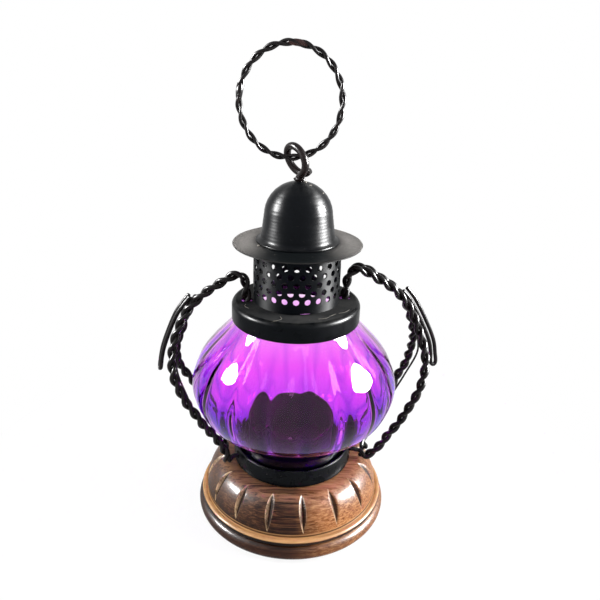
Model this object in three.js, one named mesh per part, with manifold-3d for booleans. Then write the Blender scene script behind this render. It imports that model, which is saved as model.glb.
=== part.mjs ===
// A hanging glass lantern: a melon-ribbed globe held between an iron cup on a turned wooden base and an
// iron collar, with a perforated gallery, a round hat, a twisted wire guard on each side and a wire ring.
// Millimetres, +Z up. The origin is the centre of the wooden base's underside, and -Y is the front.

import * as THREE from 'three';
import { mergeVertices } from 'three/addons/utils/BufferGeometryUtils.js';
import Module from 'manifold-3d';

const wasm = await Module();
wasm.setup();

// Clearance between pieces that rest on each other
const SEAT = 0.3;

// Turned wooden base
const BASE_RADIUS = 44.7;
const BASE_HEIGHT = 26;
const BULLNOSE_RADIUS = 3.6;
const LIP_RADIUS = 43.3;
const LIP_BEAD = 1.5;
const SLOPE_FOOT_RADIUS = 40.6;
const SLOPE_FOOT_HEIGHT = 10.8;
const SLOPE_QUIRK = 0.4;
const SHELF_RADIUS = 30;
const GOUGES = 16;
const GOUGE_WIDTH = 3.2;
const GOUGE_DEPTH = 1.5;
const GOUGE_OVERCUT = 0.6;
const GOUGE_START = 5;
const GOUGE_END = 82;
const GOUGE_TURN = 8.5;
const GOUGE_STEPS = 5;

// Iron cup under the globe
const CUP_RADIUS = 27.8;
const CUP_MOUTH_RADIUS = 26.8;
const CUP_HEIGHT = 7.6;
const CUP_CORNER = 0.8;
const SHEET = 0.9;
const CUP_HOOK_HEIGHT = 4.6;
const CUP_HOOK_HOLE = 3.4;

// Screw through both cups into the wood
const SCREW_RADIUS = 1.6;
const SCREW_HEAD_RADIUS = 3.4;
const SCREW_HEAD_HEIGHT = 1.6;
const SCREW_LENGTH = 15;
const SCREW_CLEARANCE = 0.4;
const SCREW_POINT = 4;

// Candle cup inside the globe
const CANDLE_CUP_RADIUS = 20;
const CANDLE_CUP_HEIGHT = 18.5;
const CANDLE_CUP_WALL = 0.7;
const CANDLE_CUP_BEAD = 0.7;
const CANDLE_CUP_CORNER = 1.5;
const CANDLE_CUP_TAPER = 0.4;

// Blown glass globe
const GLOBE_RADIUS = 46;
const GLOBE_HEIGHT = 76.9;
const GLOBE_EQUATOR = 38.5;
const GLASS = 2;
const RIM_ROUND = 0.9;
const LOWER_NECK_HEIGHT = 10.5;
const NECK_CLEARANCE = 0.5;
const RIBS = 16;
const RIB_DEPTH = 0.8;
const RIB_SHARPNESS = 4;
const RIB_TURN = 7;

// Iron collar on the globe
const COLLAR_RADIUS = 27.9;
const COLLAR_HEIGHT = 8.4;
const COLLAR_ROUND = 2.2;
const COLLAR_OPENING_RADIUS = 17.4;
const GUARD_HOLE_CIRCLE = 21.4;
const GUARD_HOLE_RADIUS = 2.9;

// Perforated gallery tube
const GALLERY_RADIUS = 18.7;
const GALLERY_WALL = 0.6;
const GALLERY_HEIGHT = 24.9;
const GALLERY_ROWS = 6;
const GALLERY_COLUMNS = 24;
const GALLERY_ROW_STEP = 3.55;
const GALLERY_FIRST_ROW = 5.1;
const PERFORATION_RADIUS = 1.35;
const TABS = 4;
const TAB_WIDTH = 4;
const TAB_FOLD = 2.4;
const TAB_OVERLAP = 0.1;
const TAB_SHOULDER = 0.2;

// Hat: a dished brim and a domed crown
const HAT_SHEET = 0.7;
const BRIM_RADIUS = 27.3;
const BRIM_OPENING_RADIUS = 13;
const BRIM_DISH = 0.9;
const BRIM_FLAT = 1;
const CROWN_RADIUS = 15.5;
const CROWN_SHOULDER_RADIUS = 14.2;
const CROWN_HEIGHT = 24.6;
const CROWN_DOME_HEIGHT = 12.5;
const CROWN_FOOT = 2;
const CROWN_FOOT_SHEET = 0.5;

// Eye of stout wire through the crown
const EYE_WIRE = 2.6;
const EYE_RADIUS = 5.5;
const EYE_LIFT = 8.2;
const EYE_TURN = -53;
const EYE_PITCH = 2.7;
const EYE_HOLE_CLEARANCE = 0.4;
const EYE_CLINCH = 5;
const EYE_TAIL = 4.2;
const EYE_SWEEP_START = -50;
const EYE_SWEEP_END = 262;
const EYE_SWEEP_STEPS = 12;

// Hanging ring of two wires twisted together
const RING_HALF_WIDTH = 20;
const RING_HALF_HEIGHT = 21.2;
const RING_LEAN = 4.2;
const RING_WIRE = 1.1;
const RING_TWIST_RADIUS = 0.87;
const RING_TWISTS = 10;
const RING_JOINT_ANGLE = 176;
const RING_JOINT_GAP = 0.8;
const RING_HOOK_CLEARANCE = 1.3;

// Side guards of wire twisted in pairs
const GUARD_WIRE = 1.8;
const GUARD_TWIST_RADIUS = 1.22;
const GUARD_PITCH = 12.4;
const GUARD_TURN = 8;
const HOOK_REACH = 7;
const GATHER = 0.03;
const TAIL_SPACING = 2.1;
const TAIL_ROWS = 8;
const TIE_WIRE = 0.9;

// Facets of the round work
const WIRE_SIDES = 5;
const STEPS_PER_TWIST = 5;
const FACETS = 36;
const SMALL_FACETS = 12;
const ROUTE_DIVISIONS = 400;

// Heights that follow from the sizes above
const CUP_FLOOR = BASE_HEIGHT + SEAT;
const GLOBE_FOOT = CUP_FLOOR + SHEET + SEAT;
const EQUATOR_HEIGHT = GLOBE_FOOT + GLOBE_EQUATOR;
const GLOBE_TOP = GLOBE_FOOT + GLOBE_HEIGHT;
const COLLAR_TOP = GLOBE_TOP + SEAT + SHEET;
const GALLERY_FOOT = COLLAR_TOP + SEAT;
const BRIM_HEIGHT = GALLERY_FOOT + GALLERY_HEIGHT + SEAT;
const CROWN_FOOT_HEIGHT = BRIM_HEIGHT + HAT_SHEET + SEAT;
const CROWN_TOP = CROWN_FOOT_HEIGHT + CROWN_HEIGHT;
const DOME_FOOT = CROWN_TOP - CROWN_DOME_HEIGHT;
const EYE_CENTRE = CROWN_TOP + EYE_LIFT;
const EYE_INNER_TOP = EYE_CENTRE + EYE_RADIUS - EYE_WIRE / 2;
const RING_PAIR_RADIUS = RING_TWIST_RADIUS + RING_WIRE / 2;
const RING_SEAT = EYE_INNER_TOP - RING_PAIR_RADIUS - RING_HOOK_CLEARANCE;
const RING_SETBACK = EYE_PITCH / 4;

const radians = THREE.MathUtils.degToRad;

// Materials
const blackEnamel = { color: 0x15181b, roughness: 0.35, metalness: 0.6 };
const dustyEnamel = { color: 0x3a3833, roughness: 0.6, metalness: 0.5 };
const blackWire = { color: 0x100d0e, roughness: 0.4, metalness: 0.4 };
const lacqueredWood = { color: 0x8a5c38, roughness: 0.35, metalness: 0 };
const violetGlass = { color: 0xa030e0, roughness: 0.05, metalness: 0, transparent: true, opacity: 0.5 };
const zincedSteel = { color: 0x9a9a98, roughness: 0.4, metalness: 0.9 };

function piece(name, geometry, finish) {
  const mesh = new THREE.Mesh(geometry, new THREE.MeshStandardMaterial(finish));
  mesh.name = name;
  return mesh;
}

// Solids for cutting and joining

function toSolid(geometry) {
  const bare = geometry.clone();
  bare.deleteAttribute('normal');
  bare.deleteAttribute('uv');
  const merged = mergeVertices(bare, 1e-4);
  return new wasm.Manifold(new wasm.Mesh({
    numProp: 3,
    vertProperties: merged.attributes.position.array,
    triVerts: new Uint32Array(merged.index.array),
  }));
}

function toGeometry(solid) {
  const mesh = solid.getMesh();
  const geometry = new THREE.BufferGeometry();
  geometry.setAttribute('position', new THREE.BufferAttribute(mesh.vertProperties, 3));
  geometry.setIndex(new THREE.BufferAttribute(mesh.triVerts, 1));
  geometry.computeVertexNormals();
  return geometry;
}

// Profiles turned about the Z axis, as lists of [radius, height]

function turned(profile, segments = FACETS) {
  const points = profile.map(([radius, height]) => new THREE.Vector2(Math.max(radius, 0), height));
  return new THREE.LatheGeometry(points, segments).rotateX(Math.PI / 2);
}

function arc([centreRadius, centreHeight], [across, upward], from, to, steps) {
  const points = [];
  for (let i = 0; i <= steps; i++) {
    const angle = radians(from + (to - from) * i / steps);
    points.push([centreRadius + across * Math.cos(angle), centreHeight + upward * Math.sin(angle)]);
  }
  return points;
}

function drill(radius, from, to, sides = SMALL_FACETS) {
  return new THREE.CylinderGeometry(radius, radius, to - from, sides)
    .rotateX(Math.PI / 2)
    .translate(0, 0, (from + to) / 2);
}

// Wooden base

const slopeRun = SLOPE_FOOT_RADIUS - SHELF_RADIUS;
const slopeRise = BASE_HEIGHT - SLOPE_FOOT_HEIGHT;

// A leaf-shaped V cut that follows the curve of the slope, drawn in the XZ plane on the +X side
function gougeCutter() {
  const steps = GOUGE_STEPS;
  const rows = [];
  for (let i = 0; i <= steps; i++) {
    const share = i / steps;
    const swell = Math.sin(Math.PI * share);
    const angle = radians(GOUGE_START + (GOUGE_END - GOUGE_START) * share);
    const normal = new THREE.Vector2(Math.cos(angle) / slopeRun, Math.sin(angle) / slopeRise).normalize();
    const onSlope = new THREE.Vector2(
      SHELF_RADIUS + slopeRun * Math.cos(angle), SLOPE_FOOT_HEIGHT + slopeRise * Math.sin(angle));
    const top = onSlope.clone().addScaledVector(normal, GOUGE_OVERCUT);
    const bottom = onSlope.clone().addScaledVector(normal, -GOUGE_DEPTH * swell);
    const half = swell * GOUGE_WIDTH / 2 * (1 + GOUGE_OVERCUT / GOUGE_DEPTH);
    rows.push([[top.x, -half, top.y], [top.x, half, top.y], [bottom.x, 0, bottom.y]]);
  }
  const positions = rows.slice(1, -1).flat(2);
  const first = [rows[0][0][0], 0, rows[0][0][2]];
  const last = [rows[steps][0][0], 0, rows[steps][0][2]];
  positions.push(...first, ...last);
  const faces = [];
  const rings = steps - 1;
  for (let ring = 0; ring < rings - 1; ring++) {
    for (let side = 0; side < 3; side++) {
      const a = 3 * ring + side;
      const b = 3 * ring + (side + 1) % 3;
      faces.push(a, b, b + 3, a, b + 3, a + 3);
    }
  }
  const firstTip = 3 * rings;
  for (let side = 0; side < 3; side++) {
    const next = (side + 1) % 3;
    faces.push(firstTip, next, side);
    faces.push(firstTip + 1, 3 * (rings - 1) + side, 3 * (rings - 1) + next);
  }
  const geometry = new THREE.BufferGeometry();
  geometry.setAttribute('position', new THREE.Float32BufferAttribute(positions, 3));
  geometry.setIndex(faces);
  return geometry;
}

function woodenBase() {
  const bullnose = BULLNOSE_RADIUS;
  const lipHeight = 2 * bullnose + LIP_BEAD;
  const profile = [
    [0, 0],
    ...arc([BASE_RADIUS - bullnose, bullnose], [bullnose, bullnose], -90, 75, 5),
    ...arc([LIP_RADIUS - LIP_BEAD, lipHeight], [LIP_BEAD, LIP_BEAD], -35, 115, 3),
    [SLOPE_FOOT_RADIUS + SLOPE_QUIRK, lipHeight + 1.5 * SLOPE_QUIRK],
    ...arc([SHELF_RADIUS, SLOPE_FOOT_HEIGHT], [slopeRun, slopeRise], 0, 90, 5),
    [0, BASE_HEIGHT],
  ];
  const facetMiddle = 180 / (2 * GOUGES);
  let solid = toSolid(turned(profile, 2 * GOUGES).rotateZ(radians(GOUGE_TURN + facetMiddle)));
  for (let i = 0; i < GOUGES; i++) {
    const angle = radians(GOUGE_TURN + 360 * i / GOUGES - 90);
    solid = solid.subtract(toSolid(gougeCutter().rotateZ(angle)));
  }
  const pilotTop = BASE_HEIGHT + 1;
  const pilotFoot = CUP_FLOOR + 2 * (SHEET + SEAT) - SCREW_LENGTH - SCREW_CLEARANCE;
  solid = solid.subtract(toSolid(drill(SCREW_RADIUS + SEAT, pilotFoot, pilotTop)));
  return piece('wooden_base', toGeometry(solid), lacqueredWood);
}

// Base cup, an open pan whose wall leans in and takes the guards' lower hooks

function baseCup(hooks) {
  const top = CUP_FLOOR + CUP_HEIGHT;
  const profile = [
    [0, CUP_FLOOR],
    [CUP_RADIUS - CUP_CORNER, CUP_FLOOR],
    [CUP_RADIUS, CUP_FLOOR + CUP_CORNER],
    [CUP_MOUTH_RADIUS, top],
    [CUP_MOUTH_RADIUS - SHEET, top],
    [CUP_RADIUS - SHEET - CUP_CORNER / 4, CUP_FLOOR + SHEET],
    [0, CUP_FLOOR + SHEET],
  ];
  let solid = toSolid(turned(profile));
  solid = solid.subtract(toSolid(drill(SCREW_RADIUS + SCREW_CLEARANCE, CUP_FLOOR - 1, CUP_FLOOR + 2)));
  for (const angle of hooks) {
    const hole = drill(CUP_HOOK_HOLE / 2, CUP_RADIUS - 4, CUP_RADIUS + 2, 10)
      .rotateY(Math.PI / 2)
      .rotateZ(radians(angle))
      .translate(0, 0, CUP_FLOOR + CUP_HOOK_HEIGHT);
    solid = solid.subtract(toSolid(hole));
  }
  return piece('base_cup', toGeometry(solid), blackEnamel);
}

function candleCup() {
  const foot = CUP_FLOOR + SHEET + SEAT;
  const top = foot + CANDLE_CUP_HEIGHT;
  const wall = CANDLE_CUP_WALL;
  const footRadius = CANDLE_CUP_RADIUS - CANDLE_CUP_TAPER;
  const beadHeight = top - CANDLE_CUP_BEAD;
  const profile = [
    [0, foot],
    [CANDLE_CUP_RADIUS - CANDLE_CUP_CORNER, foot],
    [footRadius, foot + CANDLE_CUP_CORNER - CANDLE_CUP_TAPER],
    [CANDLE_CUP_RADIUS - CANDLE_CUP_TAPER / 2, beadHeight - CANDLE_CUP_BEAD],
    [CANDLE_CUP_RADIUS + CANDLE_CUP_BEAD, beadHeight],
    [CANDLE_CUP_RADIUS, top],
    [CANDLE_CUP_RADIUS - wall, top - CANDLE_CUP_TAPER],
    [footRadius - wall, foot + CANDLE_CUP_CORNER],
    [footRadius - 2 * wall, foot + SHEET],
    [0, foot + SHEET],
  ];
  const cup = toSolid(turned(profile, 28));
  const hole = toSolid(drill(SCREW_RADIUS + SCREW_CLEARANCE, foot - 1, foot + 2));
  return piece('candle_cup', toGeometry(cup.subtract(hole)), blackEnamel);
}

function baseScrew() {
  const seat = CUP_FLOOR + 2 * (SHEET + SEAT) + SEAT / 2;
  const profile = [
    [0, seat - SCREW_LENGTH],
    [SCREW_RADIUS, seat - SCREW_LENGTH + SCREW_POINT],
    [SCREW_RADIUS, seat],
    [SCREW_HEAD_RADIUS, seat],
    [SCREW_HEAD_RADIUS - SCREW_CLEARANCE, seat + SCREW_HEAD_HEIGHT / 2],
    [SCREW_HEAD_RADIUS / 2, seat + SCREW_HEAD_HEIGHT],
    [0, seat + SCREW_HEAD_HEIGHT],
  ];
  return piece('base_screw', turned(profile, SMALL_FACETS), zincedSteel);
}

// Globe: the radius at a height, and the ribs that pinch it between the necks

const lowerNeckRadius = CUP_MOUTH_RADIUS - SHEET - NECK_CLEARANCE;
const upperNeckRadius = COLLAR_RADIUS - SHEET - NECK_CLEARANCE;
const shoulderHeight = GLOBE_HEIGHT + SHEET - COLLAR_HEIGHT;

function globeOutline(rows) {
  const outline = new THREE.SplineCurve([
    new THREE.Vector2(lowerNeckRadius, LOWER_NECK_HEIGHT),
    new THREE.Vector2(lowerNeckRadius + 3.6, LOWER_NECK_HEIGHT + 6),
    new THREE.Vector2(GLOBE_RADIUS - 9.1, GLOBE_EQUATOR - 17.2),
    new THREE.Vector2(GLOBE_RADIUS - 3.2, GLOBE_EQUATOR - 10.8),
    new THREE.Vector2(GLOBE_RADIUS, GLOBE_EQUATOR),
    new THREE.Vector2(GLOBE_RADIUS - 3.4, GLOBE_EQUATOR + 10.4),
    new THREE.Vector2(GLOBE_RADIUS - 8.3, GLOBE_EQUATOR + 17.4),
    new THREE.Vector2(upperNeckRadius + 3.2, shoulderHeight - 4.2),
    new THREE.Vector2(upperNeckRadius, shoulderHeight),
  ]);
  return outline.getSpacedPoints(rows).map((point) => [point.x, point.y + GLOBE_FOOT]);
}

// How far a height is into the melon ribs: nothing at either neck, and one half way between them
function swell(height) {
  const low = GLOBE_FOOT + LOWER_NECK_HEIGHT;
  const high = GLOBE_FOOT + shoulderHeight;
  const share = THREE.MathUtils.clamp((height - low) / (high - low), 0, 1);
  return Math.sin(Math.PI * share);
}

function pinch(geometry) {
  const position = geometry.attributes.position;
  for (let i = 0; i < position.count; i++) {
    const [x, y, z] = [position.getX(i), position.getY(i), position.getZ(i)];
    const radius = Math.hypot(x, y);
    if (radius === 0) continue;
    const rib = Math.abs(Math.cos(RIBS / 2 * (Math.atan2(y, x) + Math.PI / 2)));
    const scale = 1 - RIB_DEPTH * swell(z) * rib ** RIB_SHARPNESS / radius;
    position.setXYZ(i, x * scale, y * scale, z);
  }
  return geometry;
}

function globe() {
  const outer = [
    [0, GLOBE_FOOT],
    [lowerNeckRadius, GLOBE_FOOT],
    ...globeOutline(10),
    [upperNeckRadius, GLOBE_TOP - RIM_ROUND],
    [upperNeckRadius - RIM_ROUND, GLOBE_TOP],
    [0, GLOBE_TOP],
  ];
  const bore = [
    [0, GLOBE_FOOT - 1],
    [lowerNeckRadius - GLASS, GLOBE_FOOT - 1],
    ...globeOutline(8).map(([radius, height]) => [radius - GLASS - RIB_DEPTH / 2 * swell(height), height]),
    [upperNeckRadius - GLASS, GLOBE_TOP + 1],
    [0, GLOBE_TOP + 1],
  ];
  const shell = toSolid(pinch(turned(outer, 3 * RIBS))).subtract(toSolid(turned(bore, 24)));
  return piece('globe', toGeometry(shell).rotateZ(radians(RIB_TURN)), violetGlass);
}

// Collar: a drawn iron cap over the globe's upper neck

function collar(guardAngles) {
  const foot = COLLAR_TOP - COLLAR_HEIGHT;
  const round = COLLAR_ROUND;
  const inner = round - SHEET;
  const corner = [COLLAR_RADIUS - round, COLLAR_TOP - round];
  const profile = [
    [COLLAR_RADIUS - SHEET, foot],
    [COLLAR_RADIUS, foot],
    ...arc(corner, [round, round], 0, 90, 3),
    [COLLAR_OPENING_RADIUS, COLLAR_TOP],
    [COLLAR_OPENING_RADIUS, COLLAR_TOP - SHEET],
    ...arc(corner, [inner, inner], 90, 0, 2),
    [COLLAR_RADIUS - SHEET, foot],
  ];
  let solid = toSolid(turned(profile));
  for (const angle of guardAngles) {
    const hole = drill(GUARD_HOLE_RADIUS, COLLAR_TOP - 4, COLLAR_TOP + 2, 10)
      .translate(GUARD_HOLE_CIRCLE, 0, 0)
      .rotateZ(radians(angle));
    solid = solid.subtract(toSolid(hole));
  }
  return piece('collar', toGeometry(solid), blackEnamel);
}

// Gallery tube: staggered hexagonal perforations, meshed from hole to hole on both faces

function galleryTube() {
  const inner = GALLERY_RADIUS - GALLERY_WALL;
  const positions = [];
  const faces = [];
  const columns = GALLERY_COLUMNS;
  const cell = 2 * Math.PI / columns;
  const top = GALLERY_FOOT + GALLERY_HEIGHT;

  function vertex(radius, angle, height) {
    positions.push(radius * Math.cos(angle), radius * Math.sin(angle), height);
    return positions.length / 3 - 1;
  }

  function face(outside, a, b, c) {
    faces.push(...(outside ? [a, b, c] : [a, c, b]));
  }

  function skin(radius, outside) {
    const holes = [];
    for (let row = 0; row < GALLERY_ROWS; row++) {
      holes.push([]);
      for (let column = 0; column < columns; column++) {
        const centre = (column + (row % 2) / 2) * cell;
        const height = GALLERY_FOOT + GALLERY_FIRST_ROW + row * GALLERY_ROW_STEP;
        const corners = [];
        for (let k = 0; k < 6; k++) {
          const turn = radians(30 + 60 * k);
          const swing = PERFORATION_RADIUS * Math.cos(turn) / GALLERY_RADIUS;
          corners.push(vertex(radius, centre + swing, height + PERFORATION_RADIUS * Math.sin(turn)));
        }
        holes[row].push(corners);
      }
    }
    const rims = [GALLERY_FOOT, top].map((height, edge) => {
      const shift = edge ? ((GALLERY_ROWS - 1) % 2) / 2 : 0;
      const rim = [];
      for (let i = 0; i < 2 * columns; i++) rim.push(vertex(radius, (i / 2 + shift) * cell, height));
      return rim;
    });
    for (let row = 0; row < GALLERY_ROWS; row++) {
      for (let column = 0; column < columns; column++) {
        const hole = holes[row][column];
        const next = holes[row][(column + 1) % columns];
        face(outside, hole[5], next[3], next[2]);
        face(outside, hole[5], next[2], hole[0]);
        if (row + 1 === GALLERY_ROWS) continue;
        const right = holes[row + 1][(column + row % 2) % columns];
        const left = holes[row + 1][(column + row % 2 + columns - 1) % columns];
        face(outside, hole[0], right[4], right[3]);
        face(outside, hole[0], right[3], hole[1]);
        face(outside, hole[1], left[5], left[4]);
        face(outside, hole[1], left[4], hole[2]);
        face(outside, hole[0], next[2], right[4]);
        face(outside, hole[1], right[3], left[5]);
      }
    }
    for (let column = 0; column < columns; column++) {
      const low = holes[0][column];
      const lowNext = holes[0][(column + 1) % columns];
      const foot = [0, 1, 2].map((i) => rims[0][(2 * column + i) % (2 * columns)]);
      face(outside, foot[0], foot[1], low[5]);
      face(outside, foot[0], low[5], low[4]);
      face(outside, foot[1], lowNext[3], low[5]);
      face(outside, foot[1], foot[2], lowNext[3]);
      face(outside, foot[2], lowNext[4], lowNext[3]);
      const high = holes[GALLERY_ROWS - 1][column];
      const highNext = holes[GALLERY_ROWS - 1][(column + 1) % columns];
      const head = [0, 1, 2].map((i) => rims[1][(2 * column + i) % (2 * columns)]);
      face(outside, head[0], high[0], head[1]);
      face(outside, head[0], high[1], high[0]);
      face(outside, head[1], high[0], highNext[2]);
      face(outside, head[1], highNext[2], head[2]);
      face(outside, head[2], highNext[2], highNext[1]);
    }
    return { holes, rims };
  }

  const outerSkin = skin(GALLERY_RADIUS, true);
  const innerSkin = skin(inner, false);

  function wall(outerLoop, innerLoop) {
    outerLoop.forEach((a, i) => {
      const b = outerLoop[(i + 1) % outerLoop.length];
      const c = innerLoop[(i + 1) % innerLoop.length];
      const d = innerLoop[i];
      faces.push(a, b, c, a, c, d);
    });
  }

  outerSkin.holes.forEach((row, i) => row.forEach((hole, j) => wall(hole, innerSkin.holes[i][j])));
  wall([...outerSkin.rims[0]].reverse(), [...innerSkin.rims[0]].reverse());
  wall(outerSkin.rims[1], innerSkin.rims[1]);

  const sheet = new THREE.BufferGeometry();
  sheet.setAttribute('position', new THREE.Float32BufferAttribute(positions, 3));
  sheet.setIndex(faces);
  return toSolid(sheet);
}

// Tabs on the gallery's foot pass down inside the collar's opening and fold out under its plate
function galleryTab(angle) {
  const drop = SHEET + 2 * SEAT + GALLERY_WALL;
  const reach = Math.sqrt((COLLAR_OPENING_RADIUS - SEAT) ** 2 - (TAB_WIDTH / 2) ** 2);
  const foldFoot = GALLERY_FOOT - drop;
  const shoulder = GALLERY_FOOT + TAB_SHOULDER;
  const outline = new THREE.Shape([
    new THREE.Vector2(reach - GALLERY_WALL, foldFoot),
    new THREE.Vector2(reach + TAB_FOLD, foldFoot),
    new THREE.Vector2(reach + TAB_FOLD, foldFoot + GALLERY_WALL),
    new THREE.Vector2(reach, foldFoot + GALLERY_WALL),
    new THREE.Vector2(reach, shoulder),
    new THREE.Vector2(GALLERY_RADIUS - TAB_OVERLAP, shoulder),
    new THREE.Vector2(GALLERY_RADIUS - TAB_OVERLAP, shoulder + GALLERY_WALL),
    new THREE.Vector2(reach - GALLERY_WALL, shoulder + GALLERY_WALL),
  ]);
  return new THREE.ExtrudeGeometry(outline, { depth: TAB_WIDTH, bevelEnabled: false })
    .translate(0, 0, -TAB_WIDTH / 2)
    .rotateX(Math.PI / 2)
    .rotateZ(angle);
}

function gallery() {
  let solid = galleryTube();
  for (let i = 0; i < TABS; i++) {
    const angle = radians(45) + 2 * Math.PI * i / TABS;
    solid = solid.add(toSolid(galleryTab(angle)));
  }
  return piece('gallery_tube', toGeometry(solid), blackEnamel);
}

// Hat

function hatBrim() {
  const sheet = HAT_SHEET;
  const rim = BRIM_RADIUS - sheet / 2;
  const dish = new THREE.QuadraticBezierCurve(
    new THREE.Vector2(GALLERY_RADIUS + BRIM_FLAT, BRIM_HEIGHT),
    new THREE.Vector2(rim - 3 * BRIM_DISH, BRIM_HEIGHT - BRIM_DISH),
    new THREE.Vector2(rim, BRIM_HEIGHT - BRIM_DISH / 2),
  ).getPoints(3).map((point) => [point.x, point.y]);
  const profile = [
    [BRIM_OPENING_RADIUS, BRIM_HEIGHT],
    ...dish,
    [BRIM_RADIUS, dish[3][1] + sheet / 2],
    ...dish.map(([radius, height]) => [radius, height + sheet]).reverse(),
    [BRIM_OPENING_RADIUS, BRIM_HEIGHT + sheet],
    [BRIM_OPENING_RADIUS, BRIM_HEIGHT],
  ];
  return piece('hat_brim', turned(profile), dustyEnamel);
}

function hatCrown() {
  const foot = CROWN_FOOT_HEIGHT;
  const outer = CROWN_RADIUS;
  const sheet = HAT_SHEET;
  const flange = outer + CROWN_FOOT;
  const flangeTop = foot + CROWN_FOOT_SHEET;
  const dome = [CROWN_SHOULDER_RADIUS, CROWN_DOME_HEIGHT];
  const lining = dome.map((reach) => reach - sheet);
  const hole = EYE_WIRE / 2 + EYE_HOLE_CLEARANCE;
  const holeAngle = (reach) => THREE.MathUtils.radToDeg(Math.acos(hole / reach));
  const profile = [
    [outer - sheet, foot],
    [flange, foot],
    [flange, flangeTop],
    ...arc([flange, flangeTop + CROWN_FOOT], [CROWN_FOOT, CROWN_FOOT], -90, -180, 3).slice(1),
    ...arc([0, DOME_FOOT], dome, 0, holeAngle(dome[0]), 6),
    ...arc([0, DOME_FOOT], lining, holeAngle(lining[0]), 0, 5),
    [outer - sheet, flangeTop + CROWN_FOOT],
    [outer - sheet, foot],
  ];
  return piece('hat_crown', turned(profile, 28), blackEnamel);
}

// Wire bent along a route

function wire(route, diameter, steps, sides = WIRE_SIDES) {
  const section = [];
  for (let i = 0; i < sides; i++) {
    const angle = 2 * Math.PI * i / sides;
    section.push(new THREE.Vector2(Math.cos(angle), Math.sin(angle)).multiplyScalar(diameter / 2));
  }
  return new THREE.ExtrudeGeometry(new THREE.Shape(section), { steps, extrudePath: route });
}

// One strand of a pair that is twisted right-handed about a route. It follows the route up to the share
// "reach", and past the share "gather" it leaves the twist and runs in to the route itself.
class Strand extends THREE.Curve {
  constructor(route, pitch, radius, phase, reach = 1, gather = 1) {
    super();
    Object.assign(this, { route, radius, phase, reach, gather });
    this.twists = route.getLength() / pitch;
    this.frames = route.computeFrenetFrames(ROUTE_DIVISIONS, false);
    this.arcLengthDivisions = ROUTE_DIVISIONS;
  }

  getPoint(t, target = new THREE.Vector3()) {
    const along = Math.min(Math.max(t * this.reach, 0), 1);
    const place = along * ROUTE_DIVISIONS;
    const before = Math.min(Math.floor(place), ROUTE_DIVISIONS - 1);
    const { normals, binormals } = this.frames;
    const normal = normals[before].clone().lerp(normals[before + 1], place - before).normalize();
    const binormal = binormals[before].clone().lerp(binormals[before + 1], place - before).normalize();
    const angle = this.phase + 2 * Math.PI * this.twists * along;
    const spread = this.radius * (1 - THREE.MathUtils.smoothstep(along, this.gather, this.gather + GATHER));
    return this.route.getPointAt(along, target)
      .addScaledVector(normal, spread * Math.cos(angle))
      .addScaledVector(binormal, spread * Math.sin(angle));
  }
}

function strandSteps(route, pitch, reach = 1) {
  return Math.round(route.getLength() * reach / pitch * STEPS_PER_TWIST);
}

// Eye: the wire rises through the crown, loops round and ends in a short tail beside its own shank

function eyePin() {
  const across = new THREE.Vector3(Math.cos(radians(EYE_TURN)), Math.sin(radians(EYE_TURN)), 0);
  const along = new THREE.Vector3(-across.y, across.x, 0);
  const place = (reach, height, shift) => across.clone().multiplyScalar(reach)
    .addScaledVector(along, shift)
    .setZ(height);
  const bend = EYE_CLINCH / (CROWN_SHOULDER_RADIUS - HAT_SHEET);
  const underCrown = DOME_FOOT + (CROWN_DOME_HEIGHT - HAT_SHEET) * Math.sqrt(1 - bend ** 2);
  const clinch = underCrown - EYE_WIRE / 2 - SEAT;
  const points = [
    place(-EYE_CLINCH, clinch - 0.4, 0),
    place(-EYE_CLINCH / 2, clinch - 0.1, 0),
    place(-0.5, clinch + 0.5, 0),
    place(0, clinch + 2.2, 0),
    place(0, CROWN_TOP + 0.9, 0),
  ];
  for (let i = 0; i <= EYE_SWEEP_STEPS; i++) {
    const share = i / EYE_SWEEP_STEPS;
    const turn = radians(EYE_SWEEP_START + (EYE_SWEEP_END - EYE_SWEEP_START) * share);
    const height = EYE_CENTRE + EYE_RADIUS * Math.sin(turn);
    points.push(place(EYE_RADIUS * Math.cos(turn), height, EYE_PITCH * share));
  }
  points.push(place(EYE_TAIL / 2, EYE_CENTRE - EYE_RADIUS + 0.4, EYE_PITCH));
  points.push(place(EYE_TAIL, EYE_CENTRE - EYE_RADIUS + 1.7, EYE_PITCH));
  return piece('eye_pin', wire(new THREE.CatmullRomCurve3(points), EYE_WIRE, 34, 6), blackWire);
}

// Hanging ring, an oval that leans to the left in the eye

class RingRoute extends THREE.Curve {
  getPoint(t, target = new THREE.Vector3()) {
    const angle = radians(RING_JOINT_ANGLE + RING_JOINT_GAP + (360 - 2 * RING_JOINT_GAP) * t);
    const drop = RING_HALF_HEIGHT * Math.sqrt(1 - (RING_LEAN / RING_HALF_WIDTH) ** 2);
    return target.set(
      -RING_LEAN + RING_HALF_WIDTH * Math.cos(angle), RING_SETBACK,
      RING_SEAT + drop + RING_HALF_HEIGHT * Math.sin(angle));
  }
}

function hangingRing() {
  const route = new RingRoute();
  const pitch = route.getLength() / RING_TWISTS;
  return ['ring_wire_a', 'ring_wire_b'].map((name, i) => {
    const strand = new Strand(route, pitch, RING_TWIST_RADIUS, i * Math.PI);
    return piece(name, wire(strand, RING_WIRE, strandSteps(route, pitch)), blackWire);
  });
}

// Side guards. Each is drawn in its own upright plane: out from the axis, towards the front, and up.
// Places near the collar and the cup are given from those pieces' own sizes. Beside the globe the height is a
// share: 1 at the collar's top, 0 at the globe's equator and -1 at the cup's floor.

const byCollar = (out, front, up) => [GUARD_HOLE_CIRCLE + out, front, COLLAR_TOP + up];
const byCup = (out, front, up) => [CUP_RADIUS + out, front, CUP_FLOOR + up];

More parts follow.
